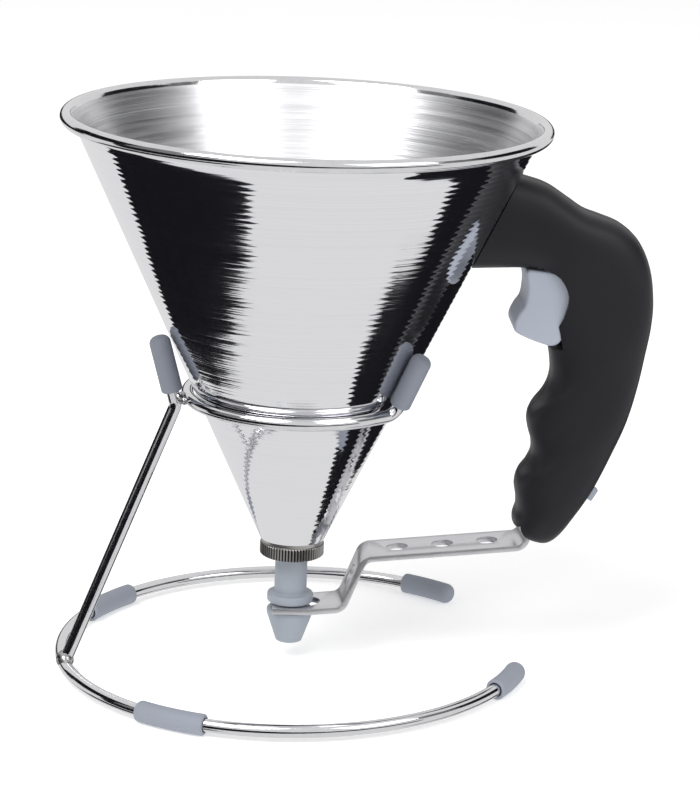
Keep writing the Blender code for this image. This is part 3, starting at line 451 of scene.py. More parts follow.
def flowing(shares, share):
    """Value of a table at a share, on a smooth curve through its rows."""
    index = 0
    while index < len(shares) - 2 and shares[index + 1][0] <= share:
        index += 1
    low, high = shares[index], shares[index + 1]
    before = shares[max(index - 1, 0)]
    after = shares[min(index + 2, len(shares) - 1)]
    span = high[0] - low[0]
    part = (share - low[0]) / span
    values = []
    for column in range(1, len(low)):
        leave = (high[column] - before[column]) / (high[0] - before[0]) * span
        reach = (after[column] - low[column]) / (after[0] - low[0]) * span
        values.append(low[column] * (2 * part**3 - 3 * part**2 + 1)
                      + leave * (part**3 - 2 * part**2 + part)
                      + high[column] * (3 * part**2 - 2 * part**3) + reach * (part**3 - part**2))
    return values


def tone(red, green, blue):
    """A colour as it shows on screen, 0 to 255, as light values."""
    return tuple((part / 255 / 12.92) if part <= 10 else ((part / 255 + 0.055) / 1.055) ** 2.4
                 for part in (red, green, blue))


class Finish:
    """A procedural material, built node by node."""

    def __init__(self, name, colour, roughness, metallic=0.0, specular=0.5):
        self.material = bpy.data.materials.new(name)
        self.material.use_nodes = True
        self.tree = self.material.node_tree
        self.shader = self.tree.nodes["Principled BSDF"]
        self.colour = (*colour, 1.0)
        self.shader.inputs["Base Color"].default_value = self.colour
        self.shader.inputs["Roughness"].default_value = roughness
        self.shader.inputs["Metallic"].default_value = metallic
        self.shader.inputs["Specular IOR Level"].default_value = specular
        self.place = self.node("ShaderNodeTexCoord").outputs["Object"]

    def node(self, kind, **settings):
        """Add a node with its settings."""
        item = self.tree.nodes.new(kind)
        for name, value in settings.items():
            setattr(item, name, value)
        return item

    def join(self, source, target):
        """Link two sockets."""
        self.tree.links.new(source, target)

    def math(self, operation, first, second):
        """A sum of two values, each a number or a socket."""
        item = self.node("ShaderNodeMath", operation=operation)
        for socket, value in zip(item.inputs, (first, second)):
            if isinstance(value, (int, float)):
                socket.default_value = value
            else:
                self.join(value, socket)
        return item.outputs[0]

    def vector_math(self, operation, first, second=None, scale=None):
        """A sum of vectors, each a constant or a socket."""
        item = self.node("ShaderNodeVectorMath", operation=operation)
        for socket, value in zip(item.inputs, (first, second)):
            if isinstance(value, tuple):
                socket.default_value = value
            elif value is not None:
                self.join(value, socket)
        if scale is not None:
            self.join(scale, item.inputs["Scale"])
        return item.outputs["Value" if operation in ("LENGTH", "DOT_PRODUCT") else "Vector"]

    def stretched(self, scale, turn=(0, 0, 0)):
        """Place on the piece, turned and scaled."""
        item = self.node("ShaderNodeMapping")
        item.inputs["Scale"].default_value = scale
        item.inputs["Rotation"].default_value = turn
        self.join(self.place, item.inputs["Vector"])
        return item.outputs["Vector"]

    def in_funnel(self):
        """Place in the funnel's own upright frame."""
        shift = self.node("ShaderNodeMapping", vector_type="TEXTURE")
        shift.inputs["Location"].default_value = ROOT_PLACE + Vector((math.sin(LEAN) * -LEAN_LEVEL, 0, 0))
        shift.inputs["Rotation"].default_value = (0, LEAN, 0)
        self.join(self.place, shift.inputs["Vector"])
        return shift.outputs["Vector"]

    def noise(self, vector, scale, detail=2.0, rough=0.5):
        """Noise from 0 to 1."""
        item = self.node("ShaderNodeTexNoise")
        item.inputs["Scale"].default_value = scale
        item.inputs["Detail"].default_value = detail
        item.inputs["Roughness"].default_value = rough
        self.join(vector, item.inputs["Vector"])
        return item.outputs["Fac"]

    def spread(self, value, low, high, start=0.0, end=1.0):
        """Bring a value from start and end to low and high."""
        item = self.node("ShaderNodeMapRange")
        for socket, number in zip(item.inputs[1:5], (start, end, low, high)):
            socket.default_value = number
        self.join(value, item.inputs["Value"])
        return item.outputs["Result"]

    def tint(self, value, low, high):
        """Base colour between two shares of the plain colour."""
        item = self.node("ShaderNodeValToRGB")
        for stop, share in zip(item.color_ramp.elements, (low, high)):
            stop.color = (*(part * share for part in self.colour[:3]), 1.0)
        self.join(value, item.inputs["Fac"])
        self.join(item.outputs["Color"], self.shader.inputs["Base Color"])

    def rough(self, value, low, high):
        """Roughness between two values."""
        self.join(self.spread(value, low, high), self.shader.inputs["Roughness"])

    def bump(self, height, distance, strength=1.0):
        """Raise the surface by a pattern."""
        item = self.node("ShaderNodeBump")
        item.inputs["Strength"].default_value = strength
        item.inputs["Distance"].default_value = distance
        self.join(height, item.inputs["Height"])
        self.join(item.outputs["Normal"], self.shader.inputs["Normal"])


def spun_steel(name, colour, roughness, sway, lift, pitch, ridge):
    """Steel turned on a lathe: each fine line tips the surface a little sideways and upwards."""
    steel = Finish(name, colour, roughness, 1.0)
    local = steel.in_funnel()
    lines = steel.vector_math("MULTIPLY", local, (6.0, 6.0, pitch))
    fine = steel.noise(lines, 1.0, 3.0, 0.6)
    slow = steel.noise(steel.vector_math("MULTIPLY", local, (14.0, 14.0, pitch / 12)), 1.0, 2.0)
    normal = steel.node("ShaderNodeNewGeometry").outputs["Normal"]
    side = steel.vector_math("NORMALIZE", steel.vector_math("CROSS_PRODUCT", normal, AXIS_DIRECTION))
    up = steel.vector_math("CROSS_PRODUCT", side, normal)
    parts = steel.node("ShaderNodeSeparateXYZ")
    steel.join(local, parts.inputs[0])
    phase = steel.math("ADD", steel.math("MULTIPLY", parts.outputs["Z"], 2 * math.pi / RIDGE_PITCH),
                       steel.math("MULTIPLY", slow, 5.0))
    tip = steel.math("ADD", steel.math("SUBTRACT", fine, 0.5),
                     steel.math("MULTIPLY", steel.math("SINE", phase, 0.0), ridge))
    swayed = steel.vector_math("SCALE", side, scale=steel.math("MULTIPLY", tip, sway))
    second = steel.noise(steel.vector_math("ADD", lines, (3.7, 1.3, 9.1)), 1.0, 2.0)
    rise = steel.math("MULTIPLY", steel.math("SUBTRACT", second, 0.5), lift)
    lifted = steel.vector_math("SCALE", up, scale=rise)
    total = steel.vector_math("ADD", normal, steel.vector_math("ADD", swayed, lifted))
    steel.join(steel.vector_math("NORMALIZE", total), steel.shader.inputs["Normal"])
    steel.tint(fine, 0.93, 1.05)
    steel.rough(slow, roughness * 0.7, roughness * 1.5)
    return steel.material


def drawn_steel(name, colour, roughness):
    """Bright drawn wire with the faintest waviness."""
    steel = Finish(name, colour, roughness, 1.0)
    haze = steel.noise(steel.place, 420.0, 3.0)
    steel.tint(haze, 0.92, 1.04)
    steel.rough(haze, roughness * 0.6, roughness * 1.6)
    steel.bump(steel.noise(steel.place, 900.0, 2.0), 0.00002, 0.5)
    return steel.material


def brushed_steel(name, colour, roughness, scale, turn=(0, 0, 0)):
    """Satin strip or machined steel with fine parallel lines."""
    steel = Finish(name, colour, roughness, 1.0)
    streaks = steel.noise(steel.stretched(scale, turn), 1.0, 4.0, 0.65)
    steel.tint(streaks, 0.84, 1.10)
    steel.rough(streaks, roughness * 0.8, roughness * 1.3)
    steel.bump(streaks, 0.00003, 0.8)
    return steel.material


def knurled_steel():
    """Machined steel with painted shade: its colour is darkened in the knurl grooves, where the teeth shade each
    other.
    """
    steel = Finish("knurled_nut_steel_painted_groove_shade", tone(196, 193, 191), 0.30, 1.0)
    parts = steel.node("ShaderNodeSeparateXYZ")
    steel.join(steel.in_funnel(), parts.inputs[0])
    around = steel.math("ARCTAN2", parts.outputs["Y"], parts.outputs["X"])
    turn = steel.math("MULTIPLY", around, float(KNURLS))
    # groove_shade is 1 on the tooth tips and 0 in the grooves, where the painted shade is darkest
    groove_shade = steel.math("ADD", steel.math("MULTIPLY", steel.math("COSINE", turn, 0.0), 0.5), 0.5)
    reach = steel.math("SQRT", steel.math("ADD", steel.math("POWER", parts.outputs["X"], 2.0),
                                          steel.math("POWER", parts.outputs["Y"], 2.0)), 0.0)
    toothed = steel.spread(reach, 0.0, 1.0, OUTLET_RADIUS - 1.6 * TOOTH_DEPTH,
                           OUTLET_RADIUS - 1.2 * TOOTH_DEPTH)
    plain = steel.math("SUBTRACT", 1.0, toothed)
    grain = steel.noise(steel.place, 2500.0, 3.0)
    shade = steel.math("MULTIPLY", steel.math("MAXIMUM", groove_shade, plain), steel.spread(grain, 0.8, 1.15))
    # painted shade: in the knurl grooves the base colour falls to a tenth of the plain colour
    steel.tint(shade, 0.10, 1.06)
    steel.rough(grain, 0.24, 0.42)
    steel.bump(grain, 0.00002, 0.6)
    return steel.material


def moulded(name, colour, roughness, grain, depth, specular=0.5, wear=0.10):
    """Moulded plastic or rubber with a spark-eroded grain, a little cloudy."""
    plastic = Finish(name, colour, roughness, 0.0, specular)
    cloud = plastic.noise(plastic.place, 55.0, 3.0)
    pores = plastic.noise(plastic.place, grain, 3.0, 0.6)
    mottle = plastic.math("ADD", plastic.math("MULTIPLY", cloud, 0.7), plastic.math("MULTIPLY", pores, 0.3))
    plastic.tint(mottle, 1 - wear, 1 + wear)
    plastic.rough(pores, roughness * 0.88, roughness * 1.14)
    plastic.bump(pores, depth, 0.7)
    return plastic.material


ROOT_PLACE = Vector((-0.017948, -0.000006, 0))
RIDGE_PITCH = 0.0018
KNURLS = 64
AXIS_DIRECTION = (math.sin(LEAN), 0.0, math.cos(LEAN))
crossing = Matrix.Translation((0, 0, LEAN_LEVEL))
stand_world = Matrix.Translation(ROOT_PLACE) @ Matrix.Rotation(STAND_TURN, 4, "Z")
funnel_world = Matrix.Translation(ROOT_PLACE) @ crossing @ Matrix.Rotation(LEAN, 4, "Y") @ crossing.inverted()
cradle_world = funnel_world @ Matrix.Rotation(STAND_TURN, 4, "Z")

mirror = spun_steel("spun_mirror_steel", tone(243, 243, 246), 0.045, 0.06, 0.05, 2600.0, 0.35)
brushed = spun_steel("spun_brushed_steel", tone(236, 236, 238), 0.30, 0.10, 0.45, 5200.0, 0.0)
bright = drawn_steel("bright_wire_steel", tone(232, 232, 234), 0.10)
satin = brushed_steel("satin_strip_steel", tone(226, 226, 229), 0.34, (70.0, 2600.0, 400.0))
machined = brushed_steel("machined_steel", tone(188, 187, 187), 0.26, (300.0, 300.0, 2400.0))
knurled = knurled_steel()
black = moulded("black_grip_plastic", tone(34, 34, 38), 0.42, 2600.0, 0.00004, 0.25, 0.14)
grey = moulded("grey_trigger_plastic", tone(172, 178, 190), 0.42, 2200.0, 0.00003, 0.3, 0.05)
pale = moulded("grey_tube_plastic", tone(158, 164, 174), 0.36, 1500.0, 0.00002, 0.3, 0.06)
rubber = moulded("grey_foot_rubber", tone(152, 157, 168), 0.55, 1800.0, 0.00003, 0.25, 0.07)
cap_rubber = moulded("grey_cap_rubber", tone(128, 133, 144), 0.5, 1800.0, 0.00003, 0.25, 0.07)
seal = moulded("seal_rubber", tone(62, 63, 66), 0.6, 1500.0, 0.00002, 0.4, 0.08)

FINISH_OF = {
    "handle_bracket": machined, "return_spring": bright, "trigger_pin": machined,
    "outlet_ferrule": machined, "valve_bush": pale, "seal_ring": seal,
    "stroke_slide": grey, "handle_screw_arm": machined, "handle_screw_shoulder": machined,
    "handle_screw_grip": machined,
}
for node, finish in FINISH_OF.items():
    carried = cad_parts[node]
    for entry in carried.material_slots:
        entry.material = finish
    if not carried.material_slots:
        carried.data.materials.append(finish)


def wire(name, route, first_side=None):
    """A round wire along a route."""
    return solid(name, tube_rings(route, [WIRE_RADIUS] * len(route), WIRE_SIDES, first_side))


def swept(route, profile):
    """Place, direction and radius at each (share along, radius) point of a profile on a route."""
    lengths = [0.0]
    for before, after in zip(route, route[1:]):
        lengths.append(lengths[-1] + (after - before).length)
    stations, radii = [], []
    for share, radius in profile:
        target = lengths[-1] * share
        index = 1
        while index < len(route) - 1 and lengths[index] < target:
            index += 1
        part = (target - lengths[index - 1]) / (lengths[index] - lengths[index - 1])
        stations.append(route[index - 1].lerp(route[index], part))
        radii.append(radius)
    rings = []
    for index, (point, radius) in enumerate(zip(stations, radii)):
        before = next((p for p in reversed(stations[:index]) if (point - p).length > SAME_PLACE), None)
        after = next((p for p in stations[index + 1:] if (point - p).length > SAME_PLACE), None)
        if before is None or after is None:
            direction = ((after or point) - (before or point)).normalized()
        else:
            direction = (after - before).normalized()
        rings.append((point, direction, radius))
    return rings


def skin(name, route, ends, first_side, bore_end):
    """A rubber tube over a wire, its ends rounded: ends is how round the mouth and the far end are."""
    total = sum((after - before).length for before, after in zip(route, route[1:]))
    outer, start, end = [], *ends
    corner = [math.pi / 2 * step / ROUND_STEPS for step in range(ROUND_STEPS + 1)]
    for angle in corner:
        outer.append((start / total * (1 - math.cos(angle)), SLEEVE_RADIUS - start * (1 - math.sin(angle))))
    for step in range(1, SKIN_ROWS):
        share = start / total + (1 - (start + end) / total) * step / SKIN_ROWS
        outer.append((share, SLEEVE_RADIUS))
    for angle in corner:
        outer.append((1 - end / total * (1 - math.sin(angle)), SLEEVE_RADIUS - end * (1 - math.cos(angle))))
    inner = [(0.0, wire_bore)]
    inner += [((step + 1) / SKIN_ROWS * bore_end, wire_bore) for step in range(SKIN_ROWS)]
    rings, bore = ([ring_about(point, direction, first_side, radius, SLEEVE_SIDES)
                    for point, direction, radius in swept(route, profile)] for profile in (outer, inner))
    if bore_end < 1:
        rings.append([route[-1] + (route[-1] - route[-2]).normalized() * END_RISE])
        rings = [[bore[-1][0].lerp(bore[-1][SLEEVE_SIDES // 2], 0.5)]] + bore[::-1] + rings
        return solid(name, rings)
    return solid(name, rings + bore[::-1], looped=True)


def weld_bead(name, middle, axis, reach, radius):
    """A small fillet of weld metal round a joint, a lumpy flattened blob."""
    rings = []
    axis = axis.normalized()
    side = axis.orthogonal().normalized()
    for row in range(13):
        angle = math.pi * row / 12
        along = middle - axis * reach * math.cos(angle)
        size = radius * math.sin(angle) ** 0.7 if 0 < row < 12 else 0
        ring = ring_about(along, axis, side, size, 28)
        if len(ring) > 1:
            ring = [middle + (point - middle) * (1 + 0.05 * math.sin(5 * step + 3 * row))
                    for step, point in enumerate(ring)]
        rings.append(ring)
    return solid(name, rings)


def add_cap(name, route, side, node, world, finish):
    """Put a rubber cap over the end of a wire."""
    piece = skin(name, route, (MOUTH_ROUND, CAP_ROUND), side, cap_bore_share)
    settle(piece, world, "stand", [node], "grey_rubber", finish)


def build_stand():
    """The stand's wires with their sleeves, caps and welds."""
    up = Vector((0, 0, 1))
    route = arc_points(BASE_RADIUS, base_level, BASE_OPENING, 2 * math.pi - BASE_OPENING, WIRE_STEP)
    ring = wire("ring_wire", route, up)
    settle(ring, stand_world, "stand", ["base_ring"], "polished_steel", bright)
    for name, side in (("front", -1), ("rear", 1)):
        middle, half = FOOT_PLACE * side, FOOT_SPAN / 2
        route = arc_points(BASE_RADIUS, base_level, middle - half, middle + half, WIRE_STEP)
        piece = skin("sleeve_" + name, route, (SLEEVE_ROUND, SLEEVE_ROUND), up, 1.0)
        settle(piece, stand_world, "stand", ["foot_sleeve_" + name], "grey_rubber", rubber)
        mouth = (BASE_OPENING + FOOT_CAP_SPAN) * side
        stop = BASE_OPENING * side - side * CAP_DOME / BASE_RADIUS
        route = arc_points(BASE_RADIUS, base_level, mouth, stop, WIRE_STEP)
        add_cap("ring_cap_" + name, route, up, "foot_cap_" + name, stand_world, rubber)
    wire_offset, cap_offset = WIRE_RADIUS + FIT_GAP, SLEEVE_RADIUS + FIT_GAP
    radius = bowl_radius(CRADLE_LEVEL) + wire_offset / math.cos(bowl_lean)
    turn_in = CRADLE_OPENING + 2 * CRADLE_BEND / radius
    posts = {}
    for side in (-1, 1):
        across = Vector((math.cos(CRADLE_OPENING * side), math.sin(CRADLE_OPENING * side), 0))
        posts[side] = [across * (bowl_radius(level) + cap_offset / math.cos(bowl_lean)) + up * level
                       for level in (CRADLE_LEVEL, CRADLE_LEVEL + CRADLE_POST)]
    loop = arc_points(radius, CRADLE_LEVEL, turn_in, 2 * math.pi - turn_in, WIRE_STEP)
    start = eased([posts[1][1], posts[1][0], loop[0]], CRADLE_BEND)
    end = eased([loop[-1], posts[-1][0], posts[-1][1]], CRADLE_BEND)
    piece = wire("cradle_loop", start[:-1] + loop + end[1:], up.cross(loop[0]))
    settle(piece, cradle_world, "stand", ["cradle_wire"], "polished_steel", bright)
    for name, side in (("front", -1), ("rear", 1)):
        low, high = posts[side]
        along = (high - low).normalized()
        add_cap("post_cap_" + name, [high - along * CAP_LENGTH, high + along * CAP_DOME],
                low.cross(high), "cradle_cap_" + name, cradle_world, cap_rubber)
    reach = radius + 2 * WIRE_RADIUS + FIT_GAP
    top_reach = bowl_radius(LEG_TOP) + cap_offset / math.cos(bowl_lean)
    top = Vector((-top_reach, 0, LEG_TOP))
    bend = Vector((-reach, 0, CRADLE_LEVEL - WIRE_RADIUS))
    foot = cradle_world.inverted() @ stand_world @ Vector((-BASE_RADIUS, 0, base_level))
    route = eased([foot + (bend - foot).normalized() * LEG_START, bend, top], CRADLE_BEND)
    across = Vector((0, 1, 0))
    piece = wire("leg_wire", route, across)
    settle(piece, cradle_world, "stand", ["support_leg"], "polished_steel", bright)
    along = (route[-1] - route[-2]).normalized()
    add_cap("post_cap_leg", [top - along * CAP_LENGTH, top + along * CAP_DOME], across,
            "cradle_cap_leg", cradle_world, cap_rubber)
    joint = Vector((-radius - WIRE_RADIUS, 0, CRADLE_LEVEL))
    for name, middle, axis, size in (
            ("weld_leg_ring", foot + Vector(RING_WELD_SHIFT), across, RING_WELD),
            ("weld_leg_loop", joint, across + up * LOOP_WELD_LEAN, LOOP_WELD)):
        bead = weld_bead(name, middle, axis, *size)
        settle(bead, cradle_world, "stand", [], "polished_steel", machined)


def build_cone():
    """The spun cone: mirror outside, brushed inside, a bright bead round its rim."""
    inset = BOWL_WALL / math.cos(bowl_lean)
    bead_middle = RIM_RADIUS - BEAD_RADIUS
    profile = [(bowl_radius(bowl_bottom) - inset, bowl_bottom), (bowl_radius(bowl_bottom), bowl_bottom)]
    rows = 40
    for step in range(1, rows):
        level = bowl_bottom + (RIM_HEIGHT - bowl_bottom) * step / rows
        profile.append((bowl_radius(level), level))
    for step in range(BEAD_STEPS + 1):
        angle = BEAD_START + BEAD_SWEEP * step / BEAD_STEPS
        profile.append((bead_middle + BEAD_RADIUS * math.cos(angle),
                        RIM_HEIGHT + BEAD_RADIUS * math.sin(angle)))
    for step in range(rows, 0, -1):
        level = bowl_bottom + (RIM_HEIGHT - bowl_bottom) * step / rows
        profile.append((bowl_radius(level) - inset, level))
    cone = turned("spun_cone", profile, RING_STEPS)
    cone = settle(cone, funnel_world, "funnel", ["cone_shell"], "polished_steel",
                  mirror, brushed, bright, sharp=50)
    inverse = funnel_world.inverted()
    for face in cone.data.polygons:
        middle = inverse @ face.center
        reach = math.hypot(middle.x, middle.y)
        if middle.z > RIM_HEIGHT - BEAD_RADIUS * 0.9 and reach > RIM_RADIUS - 2.2 * BEAD_RADIUS:
            face.material_index = 2
        elif reach < bowl_radius(middle.z) - inset / 2:
            face.material_index = 1


def build_outlet():
    """The knurled nut under the cone."""
    lip_top = nut_bottom + NUT_LIP
    thread = FERRULE_BORE + FERRULE_WALL + FIT_GAP
    bevel = NUT_HEIGHT / 8
    lip = TUBE_RADIUS + SLIDE_GAP
    rim = OUTLET_RADIUS
    profile = [
        (thread, lip_top), (lip, lip_top), (lip, nut_bottom), (rim - 2 * bevel, nut_bottom),
        (rim - bevel, nut_bottom + bevel / 3), (rim - 0.0002, nut_bottom + 0.8 * bevel),
        (rim, nut_bottom + bevel), (rim, nut_top - 2 * bevel), (rim - 0.0003, nut_top - 1.8 * bevel),
        (rim - bevel, nut_top - 1.6 * bevel), (rim - bevel, nut_top), (thread, nut_top)]
    nut = turned("fine_knurled_nut", profile, 2 * KNURLS, toothed=(6, 7))
    settle(nut, funnel_world, "outlet_nut", ["knurled_nut"], "knurled_steel", knurled, sharp=8)


def build_piston():
    """The lifting tube with its side ports, and the tip under it."""
    spigot_bottom = tip_top - SOCKET_DEPTH
    flange_top = flange_bottom + FLANGE_HEIGHT
    round_off = FLANGE_HEIGHT / 4
    crown = bowl_bottom + TUBE_CROWN
    shoulder = crown - TUBE_RADIUS / 2
    bore_top = shoulder - TUBE_BORE / 3
    profile = rounded([
        (0, bore_top), (TUBE_BORE, bore_top), (TUBE_BORE, spigot_bottom), (NECK_RADIUS, spigot_bottom),
        (NECK_RADIUS, flange_bottom), (FLANGE_RADIUS, flange_bottom), (FLANGE_RADIUS, flange_top),
        (TUBE_RADIUS, flange_top), (TUBE_RADIUS, shoulder)], round_off)[:-1]
    for step in range(1, 12):
        angle = math.pi / 2 * step / 12
        profile.append((TUBE_RADIUS * math.cos(angle), shoulder + (crown - shoulder) * math.sin(angle)))
    profile.append((0, crown))
    tube = turned("lifting_tube", profile)
    port_top = bowl_bottom + BUSH_LENGTH / 2
    low = Vector((-PORT_WIDTH / 2, -TUBE_RADIUS - CUT_OVERRUN, port_top - PORT_HEIGHT))
    outline = [low, low + Vector((PORT_WIDTH, 0, 0)), low + Vector((PORT_WIDTH, 0, PORT_HEIGHT)),
               low + Vector((0, 0, PORT_HEIGHT))]
    combine(tube, prism("port_cut", outline, Vector((0, -2 * low.y, 0))))
    settle(tube, funnel_world, "lifter", ["piston_tube"], "tube_plastic", pale)
    socket = NECK_RADIUS + FIT_GAP
    socket_bottom = spigot_bottom - FIT_GAP
    profile = rounded([
        (socket, tip_top), (FLANGE_RADIUS, tip_top), (FLANGE_RADIUS, tip_top - TIP_BAND),
        (TIP_MOUTH_RADIUS, TIP_CLEARANCE), (TUBE_BORE, TIP_CLEARANCE),
        (TUBE_BORE, socket_bottom), (socket, socket_bottom)], TIP_BAND / 3)
    settle(turned("tapered_tip", profile), funnel_world, "lifter", ["nozzle_tip"], "tube_plastic", pale)


def strip_corners():
    """Corners of the strip's middle line at rest, from the fork up into the handle."""
    climb = math.tan(STRIP_SLOPE)
    riser_end = RISER_START + RISER_RUN
    entry = on_handle(strip_entry_share, 0)[0]
    knee_level = on_handle(0, strip_knee_share)[1]
    shaft, shaft_level = on_handle(*strip_shaft_share)
    top = on_handle(0, strip_top_share)[1]
    places = ((-FORK_REACH, fork_level), (FORK_FLAT, fork_level),
              (RISER_START, fork_level + (RISER_START - FORK_FLAT) * climb),
              (riser_end, entry_level - (entry - riser_end) * climb), (entry, entry_level),
              (entry, knee_level), (shaft, shaft_level), (shaft, top))
    return [Vector((across, 0, level)) for across, level in places]


def offset_line(route, distance):
    """A route moved square to itself in the handle's middle plane."""
    moved = []
    for index, point in enumerate(route):
        along = (route[min(index + 1, len(route) - 1)] - route[max(index - 1, 0)]).normalized()
        moved.append(point + Vector((-along.z, 0, along.x)) * distance)
    return moved


def flat(points):
    """Points in the handle's middle plane as (across, level)."""
    return [(point.x, point.z) for point in points]


def build_strip():
    """The bent strip with its fork, holes, window and spring tab."""
    corners = strip_corners()
    route = eased(corners, STRIP_BEND)
    half = STRIP_THICKNESS / 2
    outline = flat(offset_line(route, half) + offset_line(route, -half)[::-1])
    strip = side_prism("bent_strip", outline, STRIP_WIDTH)
    drop = Vector((0, 0, STRIP_THICKNESS + CUT_OVERRUN))
    slot_radius = NECK_RADIUS + FIT_GAP
    slot = [Vector((-FORK_REACH - CUT_OVERRUN, slot_radius, fork_level - drop.z / 2))]
    middle = FORK_SLOT_END - slot_radius
    for step in range(33):
        angle = math.pi / 2 - math.pi * step / 32
        slot.append(Vector((middle + slot_radius * math.cos(angle), slot_radius * math.sin(angle), slot[0].z)))
    slot.append(Vector((slot[0].x, -slot_radius, slot[0].z)))
    combine(strip, prism("fork_slot", slot, drop))
    low, riser_end, entry, top = corners[2], corners[3], corners[4], corners[-1]
    for index, share in enumerate(strip_hole_shares):
        place = riser_end.lerp(entry, share)
        combine(strip, rod("strip_hole_%d" % index, place - drop, place + drop, STRIP_HOLE_RADIUS, 64))
    riser = riser_end - low
    across = Vector((-riser.z, 0, riser.x)).normalized() * drop.z
    place = low.lerp(riser_end, riser_hole_share)
    combine(strip, rod("riser_hole", place - across, place + across, STRIP_HOLE_RADIUS, 64))
    pivot = on_handle(*pivot_share)
    middle = (top.x, pivot[1] - STROKE / 2)
    reach = STRIP_THICKNESS + CUT_OVERRUN
    half_height = TAIL_THICKNESS / 2 + 2 * SLIDE_GAP
    combine(strip, side_box("tail_window", (middle[0] - reach, middle[1] - half_height),
                            (middle[0] + reach, middle[1] + half_height), TAIL_WIDTH + 2 * SLIDE_GAP))
    tab_level = on_handle(0, spring_tab_share)[1]
    combine(strip, side_box("spring_tab", (top.x, tab_level - half),
                            (top.x + half + SPRING_TAB_LENGTH, tab_level + half), 2 * SPRING_RADIUS), "UNION")
    soften(strip, 0.00022, 2, 50)
    settle(strip, funnel_world, "lifter", ["lifter_strip"], "satin_steel", satin)


def build_trigger():
    """The finger trigger with its ear and the tail that lifts the strip."""
    pivot = on_handle(*pivot_share)
    count = len(trigger_shares)
    points = [Vector((place[0] - pivot[0], 0, place[1] - pivot[1]))
              for place in (on_handle(*share) for share in trigger_shares)]
    outline = []
    for index in range(count):
        before, start, end, after = (points[(index + offset) % count] for offset in (-1, 0, 1, 2))
        for step in range(5):
            part = step / 5
            smooth = (start * 2 + (end - before) * part + (before * 2 - start * 5 + end * 4 - after) * part**2
                      + (start * 3 - before - end * 3 + after) * part**3) / 2
            outline.append((smooth.x, smooth.z))
    trigger = side_prism("finger_trigger", outline, TRIGGER_WIDTH)
    edge = soften(trigger, TRIGGER_EDGE, 6, 60)
    edge.limit_method = "ANGLE"
    sunk = on_handle(0, trigger_shares[5][1])[1] - pivot[1]
    ear = [(-EAR_RADIUS, sunk), (EAR_RADIUS, sunk)]
    for step in range(33):
        angle = math.pi * step / 32
        ear.append((EAR_RADIUS * math.cos(angle), EAR_RADIUS * math.sin(angle)))
    combine(trigger, side_prism("trigger_ear", ear, EAR_WIDTH), "UNION")
    fall = math.atan(STROKE / 2 / (strip_corners()[-1].x - pivot[0]))
    along = Vector((math.cos(fall), 0, -math.sin(fall)))
    across = Vector((math.sin(fall), 0, math.cos(fall))) * TAIL_THICKNESS / 2
    reach = strip_corners()[-1].x - pivot[0] + TAIL_OVERRUN
    tip, start = along * reach, along * PIN_RADIUS * 2
    tail = flat([start - across, tip - across, tip + across, start + across])
    combine(trigger, side_prism("trigger_tail", tail, TAIL_WIDTH), "UNION")
    combine(trigger, rod("pin_hole_in_trigger", Vector((0, -TRIGGER_WIDTH, 0)), Vector((0, TRIGGER_WIDTH, 0)),
                         PIN_RADIUS + FIT_GAP))
    world = funnel_world @ Matrix.Translation((pivot[0], 0, pivot[1]))
    settle(trigger, world, "trigger", ["trigger"], "grey_plastic", grey)


def handle_half(name, side):
    """One half of the grip before anything is cut out of it."""
    flat_side = SHELL_SEAM / 2
    rings = []
    for station in range(HANDLE_STATIONS + 1):
        share = station / HANDLE_STATIONS
        front = on_handle(*flowing(front_shares, share))
        back = on_handle(*flowing(back_shares, share))
        width_share, squareness = flowing(section_shares, share)
        middle = Vector((front[0] + back[0], 0, front[1] + back[1])) / 2
        deep = Vector((back[0] - front[0], 0, back[1] - front[1])) / 2
        half_width = HANDLE_WIDTH / 2 * width_share - flat_side
        ring = []
        for step in range(HANDLE_SECTION_STEPS + 1):
            angle = math.pi * step / HANDLE_SECTION_STEPS
            forward = math.copysign(abs(math.cos(angle)) ** (2 / squareness), math.cos(angle))
            outward = abs(math.sin(angle)) ** (2 / squareness)
            ring.append(middle + deep * forward + Vector((0, side * (flat_side + half_width * outward), 0)))
        rings.append(ring)
    return solid(name, rings)


def channel_outline():
    """Room for the strip inside the handle, at rest and raised."""
    corners = strip_corners()[4:]
    lift = Vector((0, 0, STROKE))
    margin = STRIP_THICKNESS / 2 + SLIDE_GAP
    corners[0] -= lift
    corners[-1] += lift + Vector((0, 0, SLIDE_GAP))
    resting = eased(corners, STRIP_BEND)
    raised = [point + lift for point in resting]
    raised[0] = resting[0]
    raised[-1] = resting[-1]
    return flat(offset_line(raised, margin) + offset_line(resting, -margin)[::-1])


